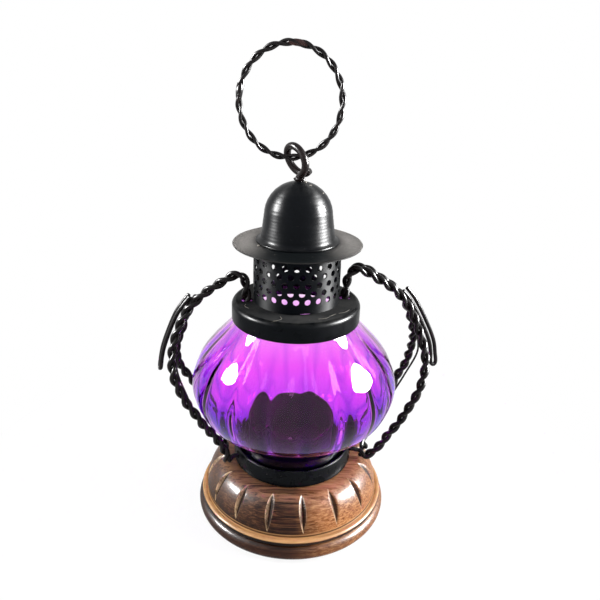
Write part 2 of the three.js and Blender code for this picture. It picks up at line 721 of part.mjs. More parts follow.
function beside(out, front, share) {
  const reach = share > 0 ? COLLAR_TOP - EQUATOR_HEIGHT : EQUATOR_HEIGHT - CUP_FLOOR;
  return [GLOBE_RADIUS + out, front, EQUATOR_HEIGHT + share * reach];
}

// The top hook comes up through the collar's hole, and the bottom hook enters the hole in the base cup
const topHook = [
  byCollar(-3.9, 0, -5.2),
  byCollar(-1.6, 0, -3.9),
  byCollar(-0.1, 0, -1),
  byCollar(0.3, 0, 5.5),
];
const bottomHook = [
  byCup(3, 8.5, 3.2),
  byCup(0.7, 7.8, CUP_HOOK_HEIGHT - 0.1),
  byCup(-2.2, 7, CUP_HOOK_HEIGHT),
];

const guards = [
  {
    name: 'guard_right',
    turn: GUARD_TURN,
    front: -1,
    frontPair: [
      ...topHook,
      byCollar(1.8, 0.7, 11.7),
      byCollar(5.3, 1.4, 13.4),
      byCollar(14.8, 2.3, 8.5),
      beside(-2.7, 2.4, 1.091),
      beside(4.1, 2.9, 0.899),
      beside(8.3, 5, 0.677),
      beside(10.6, 8.5, 0.482),
      beside(11.4, 11.7, 0.301),
      beside(9.5, 14, 0.033),
      beside(6.9, 14.2, -0.144),
      beside(4, 14, -0.295),
      beside(1, 13.5, -0.456),
      beside(-2.8, 12.8, -0.605),
      byCup(11.9, 11.8, 8.8),
      byCup(8, 10.6, 3.7),
      byCup(5.7, 9.6, 1.6),
      ...bottomHook,
    ],
    rearPair: [
      byCollar(3.4, -3.9, 11.4),
      byCollar(7.4, -3.3, 12.9),
      byCollar(14.8, -2.3, 8.7),
      beside(-2.7, -2.3, 1.098),
      beside(3.8, -2.6, 0.909),
      beside(9.8, -4.6, 0.528),
      beside(11.2, -8, 0.311),
      beside(11.2, -10.5, 0.152),
      beside(10.5, -12.5, -0.023),
      beside(8.1, -14, -0.189),
      beside(6.2, -14.5, -0.327),
      beside(3.2, -14.3, -0.491),
      byCup(17.3, -13.2, 14.7),
      byCup(13, -10.5, 9.7),
      byCup(9.5, -6, 5.7),
      byCup(7.4, -1, 3),
      byCup(6.7, 4.2, 1.9),
    ],
    tail: [
      beside(2.6, 0, 1.078),
      beside(6.1, 0, 0.972),
      beside(12.8, 0, 0.682),
      beside(17.8, 0, 0.404),
      beside(19.7, 0, 0.136),
    ],
    tailTurn: 0,
    tie: [
      beside(8, 0, 0.758),
      beside(11, 0, 0.455),
      beside(11.4, 0, 0.285),
      beside(6.6, 0, 0),
      beside(2.2, 0, -0.224),
    ],
  },
  {
    name: 'guard_left',
    turn: GUARD_TURN + 180,
    front: 1,
    frontPair: [
      ...topHook,
      byCollar(1.6, 0.3, 10.6),
      byCollar(4.8, 0.6, 11.6),
      byCollar(10.4, 1, 8.8),
      beside(-4.6, 1.5, 1.056),
      beside(1.7, 3, 0.871),
      beside(5.7, 5.5, 0.669),
      beside(7.6, 9, 0.477),
      beside(7.3, 11.5, 0.253),
      beside(4.8, 12.5, 0.071),
      beside(2.1, 13, -0.076),
      beside(-1.1, 13.5, -0.199),
      beside(-5, 13, -0.378),
      byCup(9.2, 12, 18.7),
      byCup(5.9, 11, 12.6),
      byCup(3.7, 10, 6.8),
      byCup(3.5, 9.4, 3.6),
      ...bottomHook,
    ],
    rearPair: [
      beside(-2.6, -2.1, 1.028),
      beside(1.3, -3, 0.859),
      beside(3.1, -2.9, 0.692),
      beside(6.2, -5, 0.457),
      beside(6.9, -7.5, 0.285),
      beside(5.5, -10, 0.086),
      beside(1.2, -12, -0.108),
      beside(-1.1, -12.7, -0.227),
      beside(-4.4, -12.8, -0.39),
      byCup(9.7, -12, 18.2),
      byCup(6.4, -10, 12.2),
      byCup(4.7, -6, 7),
      byCup(4.4, -1.5, 3.6),
      byCup(4.6, 2.6, 2.6),
    ],
    tail: [
      beside(-0.3, 0.2, 1.063),
      beside(4.7, 0, 0.896),
      beside(8.9, 0, 0.667),
      beside(12.2, 0, 0.427),
      beside(13.6, 0, 0.227),
    ],
    tailTurn: 75,
    tie: [
      beside(4.6, -0.9, 0.657),
      beside(6.7, -0.9, 0.177),
      beside(2.2, -0.5, -0.227),
    ],
  },
];

// A hairpin of one wire: two legs side by side along the route, joined by a round bend at its end
function hairpin(route, flatTurn) {
  const [down, back] = [[], []];
  for (let i = 0; i <= TAIL_ROWS; i++) {
    const tangent = route.getTangentAt(i / TAIL_ROWS);
    const level = new THREE.Vector3(0, 1, 0);
    const side = level.clone().cross(tangent).normalize().applyAxisAngle(tangent, radians(flatTurn));
    const point = route.getPointAt(i / TAIL_ROWS);
    down.push(point.clone().addScaledVector(side, TAIL_SPACING / 2));
    back.unshift(point.clone().addScaledVector(side, -TAIL_SPACING / 2));
  }
  const tip = route.getPointAt(1).addScaledVector(route.getTangentAt(1), TAIL_SPACING / 2);
  return new THREE.CatmullRomCurve3([...down, tip, ...back]);
}

function guard({ name, turn, front, frontPair, rearPair, tail, tailTurn, tie }) {
  const route = (points) => new THREE.CatmullRomCurve3(
    points.map(([out, forward, up]) => new THREE.Vector3(out, front * forward, up)));
  const group = new THREE.Group();
  group.rotation.z = radians(turn);
  const frontRoute = route(frontPair);
  const knob = 1 - HOOK_REACH / frontRoute.getLength();
  const rearRoute = route(rearPair);
  const strands = [
    ['front_a', frontRoute, 0, 1, knob],
    ['front_b', frontRoute, Math.PI, knob, 1],
    ['rear_a', rearRoute, 0, 1, 1],
    ['rear_b', rearRoute, Math.PI, 1, 1],
  ];
  for (const [strandName, path, phase, reach, gather] of strands) {
    const strand = new Strand(path, GUARD_PITCH, GUARD_TWIST_RADIUS, phase, reach, gather);
    const bent = wire(strand, GUARD_WIRE, strandSteps(path, GUARD_PITCH, reach));
    group.add(piece(`${name}_${strandName}`, bent, blackWire));
  }
  group.add(piece(`${name}_tail`, wire(hairpin(route(tail), tailTurn), GUARD_WIRE, 20), blackWire));
  group.add(piece(`${name}_binding`, wire(route(tie), TIE_WIRE, 14, 4), blackWire));
  return group;
}

// Assembly

const cupHookAngles = guards.map(({ turn, front }) => {
  const [out, forward] = bottomHook[bottomHook.length - 1];
  return turn + front * THREE.MathUtils.radToDeg(Math.atan2(forward, out));
});

const lantern = new THREE.Group();
lantern.add(
  woodenBase(),
  baseCup(cupHookAngles),
  baseScrew(),
  candleCup(),
  globe(),
  collar(guards.map(({ turn }) => turn)),
  gallery(),
  hatBrim(),
  hatCrown(),
  eyePin(),
  ...hangingRing(),
  ...guards.map(guard),
);

export default lantern;
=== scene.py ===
# Looks of a hanging glass lantern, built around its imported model: turned wooden base, iron cups, ribbed violet
# globe, collar, perforated gallery, hat, wire eye and ring, and a guard of twisted wire on each side.
# Lengths are millimetres in the model's frame (+Z up, -Y front) until add_mesh() turns them into metres.

from math import acos, asin, atan2, cos, degrees, exp, hypot, pi, radians, sin, sqrt

import bpy
import numpy as np
from mathutils import Euler, Matrix, Vector, noise


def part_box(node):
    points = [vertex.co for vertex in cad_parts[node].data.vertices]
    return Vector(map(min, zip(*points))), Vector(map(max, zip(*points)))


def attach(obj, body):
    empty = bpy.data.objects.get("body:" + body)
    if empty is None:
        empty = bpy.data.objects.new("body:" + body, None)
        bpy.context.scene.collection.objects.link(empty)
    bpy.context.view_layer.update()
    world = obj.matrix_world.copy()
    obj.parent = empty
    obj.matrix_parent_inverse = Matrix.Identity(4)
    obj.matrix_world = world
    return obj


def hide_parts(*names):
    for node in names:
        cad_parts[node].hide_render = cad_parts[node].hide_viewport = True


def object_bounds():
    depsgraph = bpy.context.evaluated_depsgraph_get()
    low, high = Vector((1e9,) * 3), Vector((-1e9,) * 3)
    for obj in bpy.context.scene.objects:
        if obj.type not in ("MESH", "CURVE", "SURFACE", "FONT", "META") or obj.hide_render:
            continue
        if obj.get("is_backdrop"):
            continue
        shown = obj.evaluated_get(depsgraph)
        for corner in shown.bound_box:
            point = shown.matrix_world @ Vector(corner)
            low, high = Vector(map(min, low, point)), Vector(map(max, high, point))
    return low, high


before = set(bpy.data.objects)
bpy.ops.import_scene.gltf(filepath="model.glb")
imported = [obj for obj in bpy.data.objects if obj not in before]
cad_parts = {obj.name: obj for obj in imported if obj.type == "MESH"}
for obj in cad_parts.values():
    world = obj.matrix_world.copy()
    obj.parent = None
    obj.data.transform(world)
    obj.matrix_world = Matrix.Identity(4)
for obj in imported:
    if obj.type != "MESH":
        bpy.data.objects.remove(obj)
cad_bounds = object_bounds()

MM = 0.001


def foot(node):
    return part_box(node)[0].z / MM


def top(node):
    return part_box(node)[1].z / MM


# Heights of the model, most read from its pieces and a few given or derived
BASE_TOP = top("wooden_base")
CUP_FLOOR = foot("base_cup")
CUP_TOP = top("base_cup")
GLOBE_FOOT = foot("globe")
GLOBE_TOP = top("globe")
COLLAR_FOOT = foot("collar")
COLLAR_TOP = top("collar")
GALLERY_TOP = top("gallery_tube")
BRIM_TOP = top("hat_brim")
CROWN_FOOT = foot("hat_crown")
GALLERY_FOOT = COLLAR_TOP + 0.3
CROWN_TOP = 156.7
EQUATOR = GLOBE_FOOT + 38.5

# Radii and thicknesses of the model
CUP_RADIUS = 27.8
CUP_MOUTH_RADIUS = 26.8
SHEET = 0.9
GLOBE_RADIUS = 46.0
GLASS = 2.0
RIBS = 16
RIB_DEPTH = 0.8
RIB_TURN = 7.0
RIB_STEPS = 20
LOWER_NECK_RADIUS = 25.4
UPPER_NECK_RADIUS = 26.5
LOWER_NECK_TOP = GLOBE_FOOT + 10.5
UPPER_NECK_FOOT = GLOBE_FOOT + 69.4
COLLAR_RADIUS = 27.9
COLLAR_OPENING = 17.4
GOUGES = 16
GOUGE_TURN = 8.5
HOOK_CIRCLE = 21.4
GUARD_TURN = 8.0
GALLERY_RADIUS = 18.7
GALLERY_WALL = 0.6
GALLERY_COLUMNS = 24
GALLERY_ROWS = 6
BRIM_RADIUS = 27.3
CROWN_RADIUS = 15.5
CROWN_SHOULDER = 14.2
CROWN_DOME = 12.5
HAT_SHEET = 0.7
SCREW_BORE = 2.0


# Meshes

def add_object(name, data):
    made = bpy.data.objects.new(name, data)
    bpy.context.scene.collection.objects.link(made)
    return made


def add_mesh(name, verts, faces):
    mesh = bpy.data.meshes.new(name)
    mesh.from_pydata([tuple(v) for v in np.asarray(verts, float) * MM], [], faces)
    return mesh


def add_piece(name, shape, material, body, nodes=(), sharp=35):
    """Makes a visible piece of vertices and faces that rides on a body. Edges over sharp degrees show."""
    mesh = add_mesh(name, *shape)
    mesh.validate()
    mesh.update()
    piece = add_object(name, mesh)
    mesh.materials.append(material)
    smooth(piece, sharp)
    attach(piece, body)
    if nodes:
        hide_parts(*nodes)
    return piece


def smooth(piece, sharp=35):
    piece.data.shade_smooth()
    piece.data.set_sharp_from_angle(angle=radians(sharp))


def store(piece, name, values):
    """Keeps a number for each vertex, for its material to read."""
    layer = piece.data.attributes.new(name, "FLOAT", "POINT")
    layer.data.foreach_set("value", np.asarray(values, np.float32))


def rounded(corners, steps=4):
    """A profile through corners (radius, height, rounding), with a short curve in place of each rounding."""
    spots = [np.array(c[:2], float) for c in corners]
    sizes = [c[2] if len(c) > 2 else 0 for c in corners]
    profile = []
    for i, (here, size) in enumerate(zip(spots, sizes)):
        if size <= 0:
            profile.append(here)
            continue
        ends = []
        for other in (spots[i - 1], spots[(i + 1) % len(spots)]):
            span = other - here
            reach = np.linalg.norm(span)
            ends.append(here + span * min(size / reach, 0.48))
        for t in np.linspace(0, 1, steps + 1):
            profile.append((1 - t) ** 2 * ends[0] + 2 * t * (1 - t) * here + t * t * ends[1])
    return [tuple(p) for p in profile]


def arc(centre, radii, start, end, steps):
    turns = np.radians(np.linspace(start, end, steps + 1))
    return [(centre[0] + radii[0] * cos(t), centre[1] + radii[1] * sin(t)) for t in turns]


def lathe(profile, segments, closed=False, angles=None):
    """Turns a profile about Z. A point on the axis becomes one vertex. A closed profile is a ring section."""
    if angles is None:
        angles = np.linspace(0, 2 * pi, segments, endpoint=False)
    verts, rings, faces = [], [], []
    for radius, height in profile:
        if radius < 1e-6:
            rings.append([len(verts)])
            verts.append((0.0, 0.0, height))
            continue
        rings.append(list(range(len(verts), len(verts) + len(angles))))
        verts.extend((radius * cos(a), radius * sin(a), height) for a in angles)
    pairs = list(zip(rings, rings[1:]))
    if closed:
        pairs.append((rings[-1], rings[0]))
    count = len(angles)
    for low, high in pairs:
        if len(low) == 1 and len(high) == 1:
            continue
        for i in range(count):
            j = (i + 1) % count
            if len(low) == 1:
                faces.append((low[0], high[j], high[i]))
            elif len(high) == 1:
                faces.append((low[i], low[j], high[0]))
            else:
                faces.append((low[i], low[j], high[j], high[i]))
    return np.array(verts), faces


def hermite(p1, p2, m1, m2, t):
    return ((2 * t**3 - 3 * t**2 + 1) * p1 + (t**3 - 2 * t**2 + t) * m1
            + (3 * t**2 - 2 * t**3) * p2 + (t**3 - t**2) * m2)


def bored(piece, bores):
    """Cuts round holes. Each is (centre, direction, radius, length)."""
    for centre, direction, radius, length in bores:
        turn = Vector(direction).to_track_quat("Z", "Y").to_matrix().to_4x4()
        half = length / 2
        mesh = add_mesh("cutter", *lathe([(0, -half), (radius, -half), (radius, half), (0, half)], 40))
        mesh.transform(Matrix.Translation(Vector(centre) * MM) @ turn)
        cutter = add_object("cutter", mesh)
        cut = piece.modifiers.new("bore", "BOOLEAN")
        cut.operation, cut.solver, cut.object = "DIFFERENCE", "EXACT", cutter
        bake_modifiers(piece)
        bpy.data.objects.remove(cutter)
    smooth(piece)


def bake_modifiers(piece):
    bpy.context.view_layer.update()
    graph = bpy.context.evaluated_depsgraph_get()
    mesh = bpy.data.meshes.new_from_object(piece.evaluated_get(graph))
    piece.modifiers.clear()
    piece.data = mesh


def bumpy(x, y, z, scale, seed=0.0):
    """Smooth noise from -1 to 1."""
    return noise.noise(Vector((x / scale + seed, y / scale - seed, z / scale + 2 * seed)))


# Wires

class Line:
    """A line through close points, sampled by its length."""

    def __init__(self, points):
        self.points = np.array(points)
        steps = np.linalg.norm(np.diff(self.points, axis=0), axis=1)
        self.reached = np.concatenate([[0], np.cumsum(steps)])
        self.length = self.reached[-1]

    def at(self, shares):
        where = np.clip(shares, 0, 1) * self.length
        return np.stack([np.interp(where, self.reached, column) for column in self.points.T], axis=-1)


def curve(points, samples=60):
    """A centripetal Catmull-Rom curve through points."""
    points = [np.array(p, float) for p in points]
    ends = [2 * points[0] - points[1], *points, 2 * points[-1] - points[-2]]
    dense = []
    for p0, p1, p2, p3 in zip(ends, ends[1:], ends[2:], ends[3:]):
        d0, d1, d2 = (sqrt(np.linalg.norm(b - a)) for a, b in ((p0, p1), (p1, p2), (p2, p3)))
        m1 = ((p1 - p0) / d0 - (p2 - p0) / (d0 + d1) + (p2 - p1) / d1) * d1
        m2 = ((p2 - p1) / d1 - (p3 - p1) / (d1 + d2) + (p3 - p2) / d2) * d1
        dense += [hermite(p1, p2, m1, m2, t) for t in np.linspace(0, 1, samples, endpoint=False)]
    return Line(dense + [points[-1]])


def frames(points):
    """Tangents, normals and binormals that don't spin about the line of the points."""
    tangents = np.gradient(points, axis=0)
    tangents /= np.linalg.norm(tangents, axis=1)[:, None]
    axis = np.zeros(3)
    axis[np.argmin(np.abs(tangents[0]))] = 1
    side = np.cross(tangents[0], axis)
    normal = np.cross(tangents[0], side / np.linalg.norm(side))
    normals = [normal]
    for before, here in zip(tangents, tangents[1:]):
        turn = np.cross(before, here)
        sine = np.linalg.norm(turn)
        if sine > 1e-12:
            angle = atan2(sine, float(before @ here))
            normal = np.array(Matrix.Rotation(angle, 3, Vector(turn / sine)) @ Vector(normal))
        normals.append(normal)
    normals = np.array(normals)
    return tangents, normals, np.cross(tangents, normals)


def strand(route, pitch, radius, phase, reach=1.0, gather=1.0, steps=22):
    """The centreline of one wire of a right-handed twisted pair. It ends at reach, and from gather on the
    wires draw together. Both are shares of the route."""
    places = np.linspace(0, 1, 401)
    _, normals, binormals = frames(route.at(places))
    twists = route.length / pitch
    shares = np.linspace(0, reach, round(twists * reach * steps) + 1)
    normal = np.stack([np.interp(shares, places, normals[:, k]) for k in range(3)], axis=1)
    binormal = np.stack([np.interp(shares, places, binormals[:, k]) for k in range(3)], axis=1)
    eased = np.clip((shares - gather) / 0.03, 0, 1)
    spread = (radius * (1 - eased * eased * (3 - 2 * eased)))[:, None]
    turns = (phase + 2 * pi * twists * shares)[:, None]
    return route.at(shares) + spread * (np.cos(turns) * normal + np.sin(turns) * binormal)


def tube(points, radius, sides=14):
    """A round wire along the points, with domed ends. The radius is one number or one for each point."""
    points = np.asarray(points, float)
    radii = np.broadcast_to(np.asarray(radius, float), (len(points),))
    tangents, normals, binormals = frames(points)
    angles = np.linspace(0, 2 * pi, sides, endpoint=False)
    verts, faces = [], []
    dome, tip = 0.35, 0.6
    rows = [(points[0] - tangents[0] * radii[0] * dome, radii[0] * tip, 0)]
    rows += [(point, r, i) for i, (point, r) in enumerate(zip(points, radii))]
    rows += [(points[-1] + tangents[-1] * radii[-1] * dome, radii[-1] * tip, len(points) - 1)]
    for centre, r, i in rows:
        for a in angles:
            verts.append(centre + r * (cos(a) * normals[i] + sin(a) * binormals[i]))
    for row in range(len(rows) - 1):
        for k in range(sides):
            a, b = row * sides + k, row * sides + (k + 1) % sides
            faces.append((a, b, b + sides, a + sides))
    faces.append(tuple(range(sides))[::-1])
    faces.append(tuple((len(rows) - 1) * sides + k for k in range(sides)))
    return np.array(verts), faces


def join(*parts):
    """Several meshes as one."""
    verts, faces, shift = [], [], 0
    for part_verts, part_faces in parts:
        verts.append(part_verts)
        faces.extend(tuple(i + shift for i in face) for face in part_faces)
        shift += len(part_verts)
    return np.concatenate(verts), faces


# Materials

def feed(tree, socket, value):
    """Links a socket or sets its value, which can be a colour such as "d9955c"."""
    if isinstance(value, bpy.types.NodeSocket):
        tree.links.new(value, socket)
    else:
        socket.default_value = rgb(value) if isinstance(value, str) else value


def node(tree, kind, values=None, **settings):
    made = tree.nodes.new("ShaderNode" + kind)
    for name, value in settings.items():
        setattr(made, name, value)
    for key, value in (values or {}).items():
        feed(tree, made.inputs[key], value)
    return made


class Paint:
    """A material with one Principled shader, and short calls for the nodes that feed it. place is in mm."""

    def __init__(self, name, **sockets):
        self.material = bpy.data.materials.new(name)
        self.material.use_nodes = True
        self.tree = self.material.node_tree
        self.finish(**sockets)
        spot = self.node("TexCoord").outputs["Object"]
        self.place = self.node("VectorMath", {0: spot, "Scale": 1 / MM}, operation="SCALE").outputs[0]
        self.up = self.axis(self.node("NewGeometry").outputs["Normal"], "Z")

    def finish(self, **sockets):
        for name, value in sockets.items():
            feed(self.tree, self.tree.nodes["Principled BSDF"].inputs[name.replace("_", " ")], value)

    def node(self, kind, values=None, **settings):
        return node(self.tree, kind, values, **settings)

    def axis(self, vector, letter):
        return self.node("SeparateXYZ", {0: vector}).outputs[letter]

    def stretched(self, x, y, z):
        return self.node("VectorMath", {0: self.place, 1: (x, y, z)}, operation="MULTIPLY").outputs[0]

    def noise(self, scale, detail=4.0, rough=0.5, bend=0.0, vector=None):
        values = {"Vector": vector or self.place, "Scale": scale, "Detail": detail, "Roughness": rough,
                  "Distortion": bend}
        return self.node("TexNoise", values).outputs[0]

    def layer(self, name):
        return self.node("Attribute", attribute_name=name).outputs["Fac"]

    def span(self, value, low, high, out_low=0.0, out_high=1.0):
        """A smooth step from out_low to out_high, as the value goes from low to high."""
        values = {0: value, 1: low, 2: high, 3: out_low, 4: out_high}
        return self.node("MapRange", values, interpolation_type="SMOOTHSTEP").outputs[0]

    def band(self, value, low, full_low, full_high, high):
        """1 between the two middle values, and down to 0 at the outer two."""
        return self.times(self.span(value, low, full_low), self.span(value, high, full_high))

    def calc(self, operation, a, b=0.0):
        return self.node("Math", {0: a, 1: b}, operation=operation).outputs[0]

    def times(self, *factors):
        product = factors[0]
        for factor in factors[1:]:
            product = self.calc("MULTIPLY", product, factor)
        return product

    def mix(self, share, a, b, blend="MIX"):
        values = {0: share, 6: a, 7: b}
        return self.node("Mix", values, data_type="RGBA", blend_type=blend).outputs[2]

    def ramp(self, value, *stops):
        made = self.node("ValToRGB", {0: value})
        points = made.color_ramp.elements
        while len(points) < len(stops):
            points.new(0.5)
        for point, (place, colour) in zip(points, stops):
            point.position = place
            point.color = rgb(colour)
        return made.outputs[0]

    def bump(self, height, depth, below=None):
        """Relief of depth mm over the normal of an earlier bump."""
        values = {"Height": height, "Distance": depth * MM, "Strength": 1.0}
        if below is not None:
            values["Normal"] = below
        return self.node("Bump", values).outputs[0]


def rgb(code):
    """A colour as it looks on screen, such as "d9955c", in the linear values that shaders take."""
    shares = [int(code[i:i + 2], 16) / 255 for i in (0, 2, 4)]
    return (*[s / 12.92 if s <= 0.04045 else ((s + 0.055) / 1.055) ** 2.4 for s in shares], 1.0)


def enamel(name, dust, gloss, rings=0.0, tone="0a0c0f", shine=0.055, brushed=0.0, dull=0.0):
    """Black stove enamel on iron, with dust on what faces up, pale specks, and optional spinning rings.

    shine is the specular level, brushed the anisotropy, and dull what flat tops add to the roughness gloss."""
    paint = Paint(name, Specular_IOR_Level=shine, Anisotropic=brushed,
                  Anisotropic_Rotation=0.25 if brushed else 0.0)
    cloud = paint.noise(0.16, 5, 0.6, 0.6)
    fine = paint.noise(2.6, 3, 0.6)
    settled = paint.times(paint.span(paint.up, 0.6, 1.0), paint.span(cloud, 0.32, 0.78),
                          paint.span(fine, 0.2, 0.7, 0.4, 1.0), dust)
    colour = paint.mix(settled, paint.mix(cloud, tone, "0a0d11"), "7b766d")
    specks = paint.span(paint.noise(1.9, 2, 0.5), 0.76, 0.79)
    colour = paint.mix(paint.times(specks, 0.5), colour, "a59d94")
    rough = paint.calc("ADD", paint.span(cloud, 0.3, 0.7, gloss, gloss + 0.1), paint.times(settled, 0.5))
    rough = paint.calc("ADD", rough, paint.times(paint.span(paint.up, 0.97, 0.995), dull))
    relief = paint.bump(paint.noise(0.55, 2, 0.5), 0.02)
    relief = paint.bump(paint.noise(3.2, 3, 0.6), 0.004, relief)
    if rings:
        values = {"Vector": paint.place, "Scale": 0.25, "Distortion": 1.2, "Detail": 3.0}
        wave = paint.node("TexWave", values, bands_direction="Z").outputs["Fac"]
        relief = paint.bump(wave, rings, relief)
    paint.finish(Base_Color=colour, Roughness=rough, Normal=relief)
    return paint.material


def dusty_hat():
    """Black sheet with taupe dust on both sides of the brim, and clean and dark in front of the crown."""
    paint = Paint("dusty hat sheet", Specular_IOR_Level=0.03)
    cloud = paint.noise(0.09, 6, 0.62, 0.8)
    fine = paint.noise(1.4, 4, 0.65)
    radius = paint.node("VectorMath", {0: paint.stretched(1, 1, 0)}, operation="LENGTH").outputs["Value"]
    sideways = paint.calc("ABSOLUTE", paint.axis(paint.place, "X"))
    behind = paint.span(paint.axis(paint.place, "Y"), -24, -6, 0.2, 1)
    veil = paint.times(paint.span(sideways, 9, 23), behind, paint.span(cloud, 0.2, 0.6, 0.72, 1.0),
                       paint.span(radius, 16.8, 19.5, 0.35, 1.0), paint.span(fine, 0.25, 0.65, 0.8, 1.0))
    colour = paint.mix(veil, "0b0f11", "95918d")
    colour = paint.mix(paint.times(paint.span(radius, 26.9, 27.2), 0.75), colour, "2b2a29")
    specks = paint.span(paint.noise(1.7, 2, 0.5), 0.74, 0.78)
    colour = paint.mix(paint.times(specks, 0.4), colour, "b9b2a8")
    relief = paint.bump(paint.noise(0.4, 3, 0.5), 0.06)
    paint.finish(Base_Color=colour, Roughness=paint.span(veil, 0, 1, 0.42, 0.85),
                 Normal=paint.bump(fine, 0.01, relief))
    return paint.material


def wire_coat(name, warm=0.0, rough=0.04):
    """Black lacquer on iron wire, thin and brownish where it rubs."""
    paint = Paint(name, Specular_IOR_Level=0.12)
    cloud = paint.noise(0.35, 4, 0.6, 0.4)
    fine = paint.noise(3.0, 3, 0.6)
    colour = paint.mix(cloud, "080708", "191415")
    colour = paint.mix(paint.times(paint.span(cloud, 0.58, 0.75), 0.4), colour, "3d2c2a")
    if warm:
        colour = paint.mix(warm, colour, "472c28")
    relief = paint.bump(paint.noise(0.9, 3, 0.6), rough)
    paint.finish(Base_Color=colour, Roughness=paint.span(fine, 0.3, 0.7, 0.22, 0.34),
                 Normal=paint.bump(fine, 0.012, relief))
    return paint.material


def lacquered_wood():
    """Brown stained wood with dark streaks, with painted light making it paler at the right, and rubbed bare on
    edges and gouge rims.
    """
    paint = Paint("lacquered wood", Specular_IOR_Level=0.06, Coat_Weight=0.1, Coat_Roughness=0.16)
    span, times, mix = paint.span, paint.times, paint.mix
    grain = paint.noise(1.0, 8, 0.66, 0.6, paint.stretched(0.05, 0.9, 1.3))
    pores = paint.noise(1.0, 4, 0.6, 0.0, paint.stretched(0.2, 5.5, 6.5))
    broad = paint.noise(0.04, 3, 0.5, 0.3)
    across, height = paint.axis(paint.place, "X"), paint.axis(paint.place, "Z")
    depth, side = paint.layer("gouge"), paint.layer("side")

    # The stain: dark, with painted light at the right, a painted grey sheen on the left slope, painted shade low
    # down towards the left, and worn by the shelf
    colour = paint.ramp(grain, (0.34, "120805"), (0.45, "2a160b"), (0.55, "442714"), (0.68, "6e462a"))
    # Painted light: paler and more orange towards the right, the side the stronger lamp lights, with a little
    # random variation
    painted_light_right = paint.calc("ADD", span(across, 0, 17, 0.0, 0.85), span(broad, 0.4, 0.65, -0.15, 0.1))
    colour = mix(painted_light_right, colour, paint.ramp(grain, (0.34, "643518"), (0.48, "985f34"), (0.66, "c48e5a")))
    # Painted sheen: a grey cast on the left slope, where the left lamp's gloss falls
    painted_sheen_left = times(span(across, -8, -34), span(height, 12, 20), 0.35)
    colour = mix(painted_sheen_left, colour, "6b5244")
    # Painted shade: darker low down on the slope and towards the left
    painted_shade_low = times(span(height, 19, 11.5), span(across, 16, -4), 0.55)
    colour = mix(painted_shade_low, colour, "160a07")
    worn = times(span(height, 23.2, 25.4), span(grain, 0.36, 0.56), 0.45)
    colour = mix(worn, colour, "a2754f")
    colour = mix(times(span(pores, 0.58, 0.72), 0.7), colour, "24120c")

    # Bands round the foot, by height: a rubbed one with a dark line in it, a thin one, and the dark bead
    rubbed = mix(paint.noise(0.7, 4, 0.6, 0.0, paint.stretched(0.3, 0.3, 3)), "9c6a3c", "dcae75")
    bands = [((9.3, 9.6, 10.3, 11.5), 0.9, rubbed), ((10.35, 10.5, 10.95, 11.2), 0.85, "3a1f12"),
             ((11.15, 11.3, 11.6, 11.9), 0.5, rubbed), ((7.0, 7.5, 9.15, 9.45), 0.9, "100a09")]
    for levels, share, shade in bands:
        colour = mix(times(paint.band(height, *levels), share), colour, shade)
    colour = mix(times(span(height, 7.4, 5.4), 0.35), colour, "35190f")

    # The gouges: worn raw wood on the rims, one flank painted lit as raw wood, and a dark stain in the valley
    # deepened by painted shade towards the other flank
    raw = mix(paint.noise(1.6, 3, 0.6), "e6c9a0", "93683e")
    broken = span(paint.noise(0.45, 3, 0.6), 0.36, 0.6, 0.15, 1.0)
    # Worn rims, painted fuller on the lit flank; then that flank painted lit as raw wood
    rim = times(paint.band(depth, 0.0, 0.05, 0.14, 0.36), broken, span(side, 0.5, -0.3, 0.2, 1.0))
    bare = times(span(depth, 0.04, 0.14), span(side, -0.02, -0.3, 0.0, 0.75), broken)
    # Dark stain in the valley, with painted shade deepening it towards the other flank
    valley = times(span(depth, 0.08, 0.4), span(side, -0.55, 0.0, 0.3, 1.0), 0.9)
    colour = mix(paint.calc("MAXIMUM", rim, bare), colour, raw)
    colour = mix(valley, colour, "1c0d08")

    relief = paint.bump(pores, 0.035, paint.bump(grain, 0.07))
    paint.finish(Base_Color=colour, Roughness=span(grain, 0.3, 0.7, 0.36, 0.5), Normal=relief,
                 Coat_Normal=paint.bump(pores, 0.02, paint.bump(grain, 0.03)))
    return paint.material


